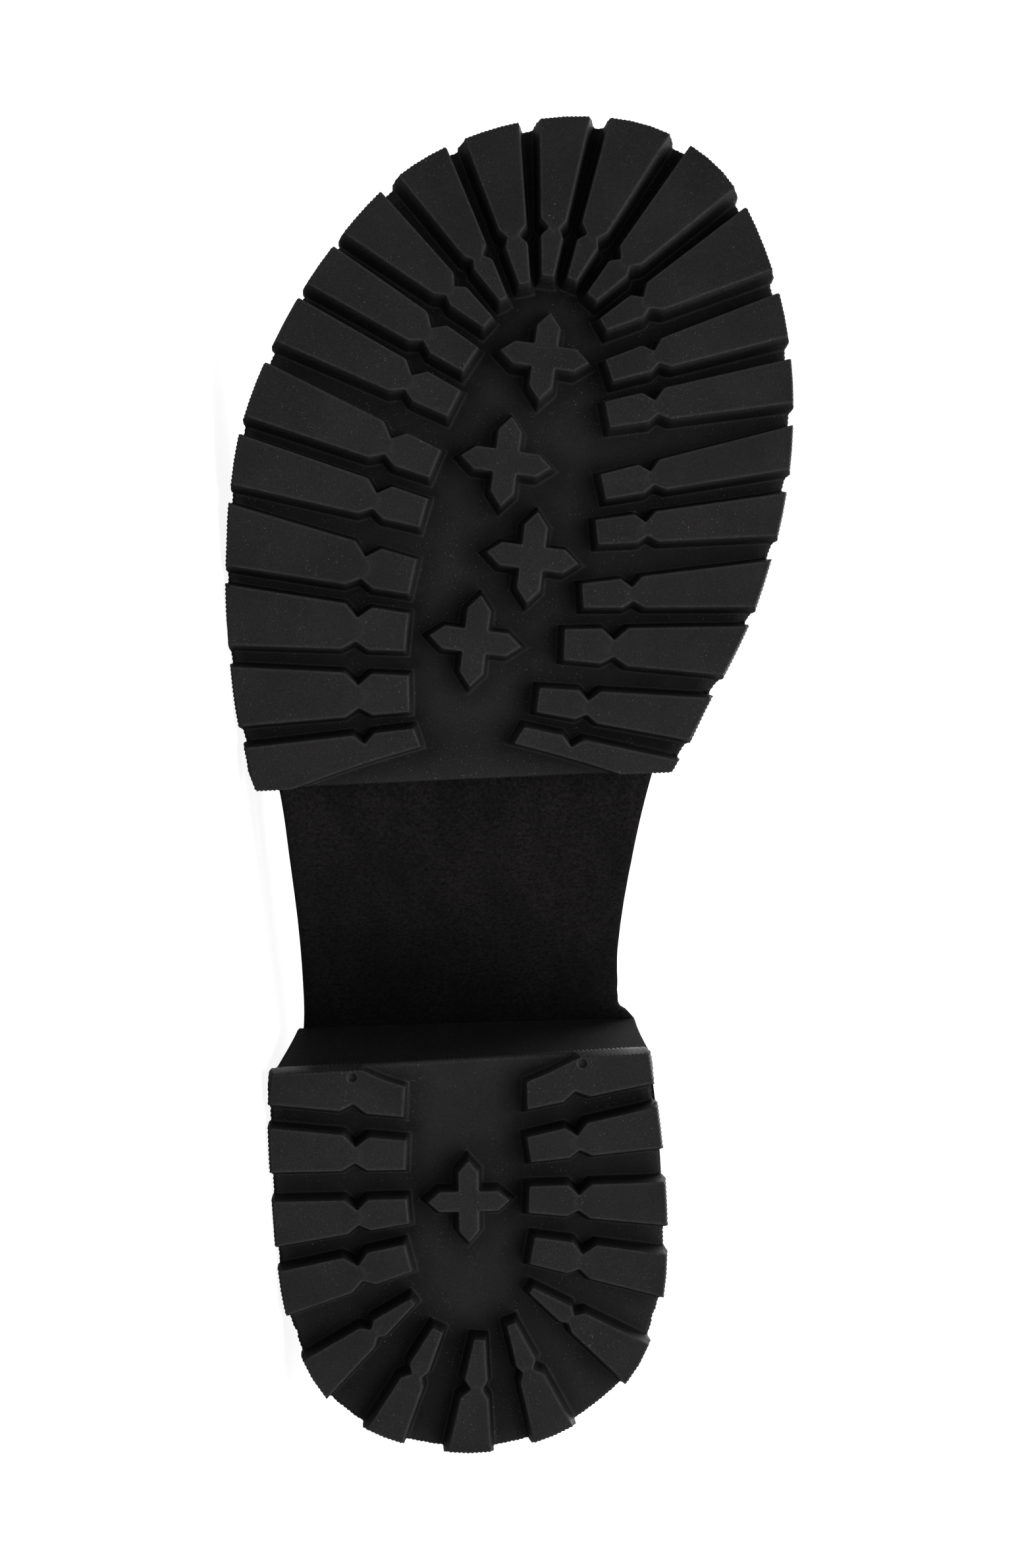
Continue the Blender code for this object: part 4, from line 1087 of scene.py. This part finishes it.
def footbed_seam(thread):
    """A row of stitches round the footbed, a little inside its edge."""
    bm = cad_mesh("insole")
    tree = BVHTree.FromBMesh(bm)
    bm.verts.index_update()
    ring = longest(border_of(bm, {f for f in bm.faces if f.normal.z > 0.6}))
    bm.free()
    ring = evened(evenly(ring, step=2.0), rounds=6)
    ring = ring - outward(ring) * FOOTBED_IN
    row = []
    for x, y in [*ring, ring[0]]:
        hit, normal, _, _ = tree.ray_cast(Vector((x, y, 200)), Vector((0, 0, -1)))
        if hit is not None:
            row.append((hit, normal))
    add_piece("footbed_stitching", thread_mesh(stitches([row])), thread)


# ------------ stage

def add_camera():
    """Square to the sole's length, level, with the toe at the top of the picture."""
    toe = (SHOE.to_3x3() @ Vector((0, 1, 0))).normalized()
    forward = Vector((-toe.y, toe.x, 0)).normalized()
    if forward.y < 0:
        forward = -forward
    right = forward.cross(toe).normalized()
    up = right.cross(forward)
    data = bpy.data.cameras.new("camera")
    data.sensor_width = SENSOR
    data.lens = SENSOR * DISTANCE / FIELD
    camera = add_object("camera", data)
    rotation = Matrix((right, up, -forward)).transposed().to_4x4()
    camera.matrix_world = Matrix.Translation(SHOE.translation - forward * DISTANCE * MM) @ rotation
    bpy.context.scene.camera = camera


def add_sun(name, towards, strength, spread):
    """A broad soft light that comes from a direction."""
    data = bpy.data.lights.new(name, "SUN")
    data.energy, data.angle = strength, math.radians(spread)
    light = add_object(name, data)
    light.rotation_euler = Vector(towards).to_track_quat("Z", "Y").to_euler()


def floor_material():
    """Pale and half clear, so that the shoe's shadow on it stays faint."""
    s = Shader("floor_pale", (0.9, 0.9, 0.9), 0.9)
    s.main.inputs["Specular IOR Level"].default_value = 0.1
    s.main.inputs["Alpha"].default_value = FLOOR_ALPHA
    return s.material


def add_world():
    """White as a backdrop, and a dim even light on the shoe."""
    world = bpy.data.worlds.new("studio")
    bpy.context.scene.world = world
    world.use_nodes = True
    tree = world.node_tree
    background = tree.nodes["Background"]
    background.inputs["Color"].default_value = (1, 1, 1, 1)
    seen = tree.nodes.new("ShaderNodeLightPath").outputs["Is Camera Ray"]
    strength = tree.nodes.new("ShaderNodeMapRange")
    strength.inputs["To Min"].default_value = AMBIENT
    strength.inputs["To Max"].default_value = BACKDROP
    tree.links.new(seen, strength.inputs["Value"])
    tree.links.new(strength.outputs["Result"], background.inputs["Strength"])


def add_stage():
    """A pale floor, the world and the lights."""
    bm = bmesh.new()
    bmesh.ops.create_grid(bm, x_segments=1, y_segments=1, size=FLOOR_SIZE)
    floor = add_mesh("floor", bm, floor_material())
    add_world()
    for name, towards, strength, spread in SUNS:
        add_sun(name, towards, strength, spread)


def main():
    bpy.context.scene.view_settings.view_transform = "Standard"
    black_rubber = rubber()
    # The heel's suede is the same suede made lighter by shade 1.15: painted light on the heel's
    # breast.
    wrap, heel_wrap_lit = suede("suede_black"), suede("suede_black_heel_lit", shade=1.15, gloss=0.05)
    rubber_unit("tread_forefoot", "outsole_forefoot", flatten_toe, bend_toe, black_rubber)
    rubber_unit("tread_heel", "heel_top_piece", flatten_heel, bend_heel, black_rubber, DIMPLES)
    step_out_waist(softened("platform_suede", "platform", wrap, sharp=60))
    softened("heel_suede", "heel_block", heel_wrap_lit)
    soft_leather, thread = lining(), waxed_thread()
    footbed = softened("footbed_lining", "insole", soft_leather, sharp=60)
    footbed_seam(thread)
    make_upper((leather(), soft_leather), thread)
    add_camera()
    add_stage()


main()
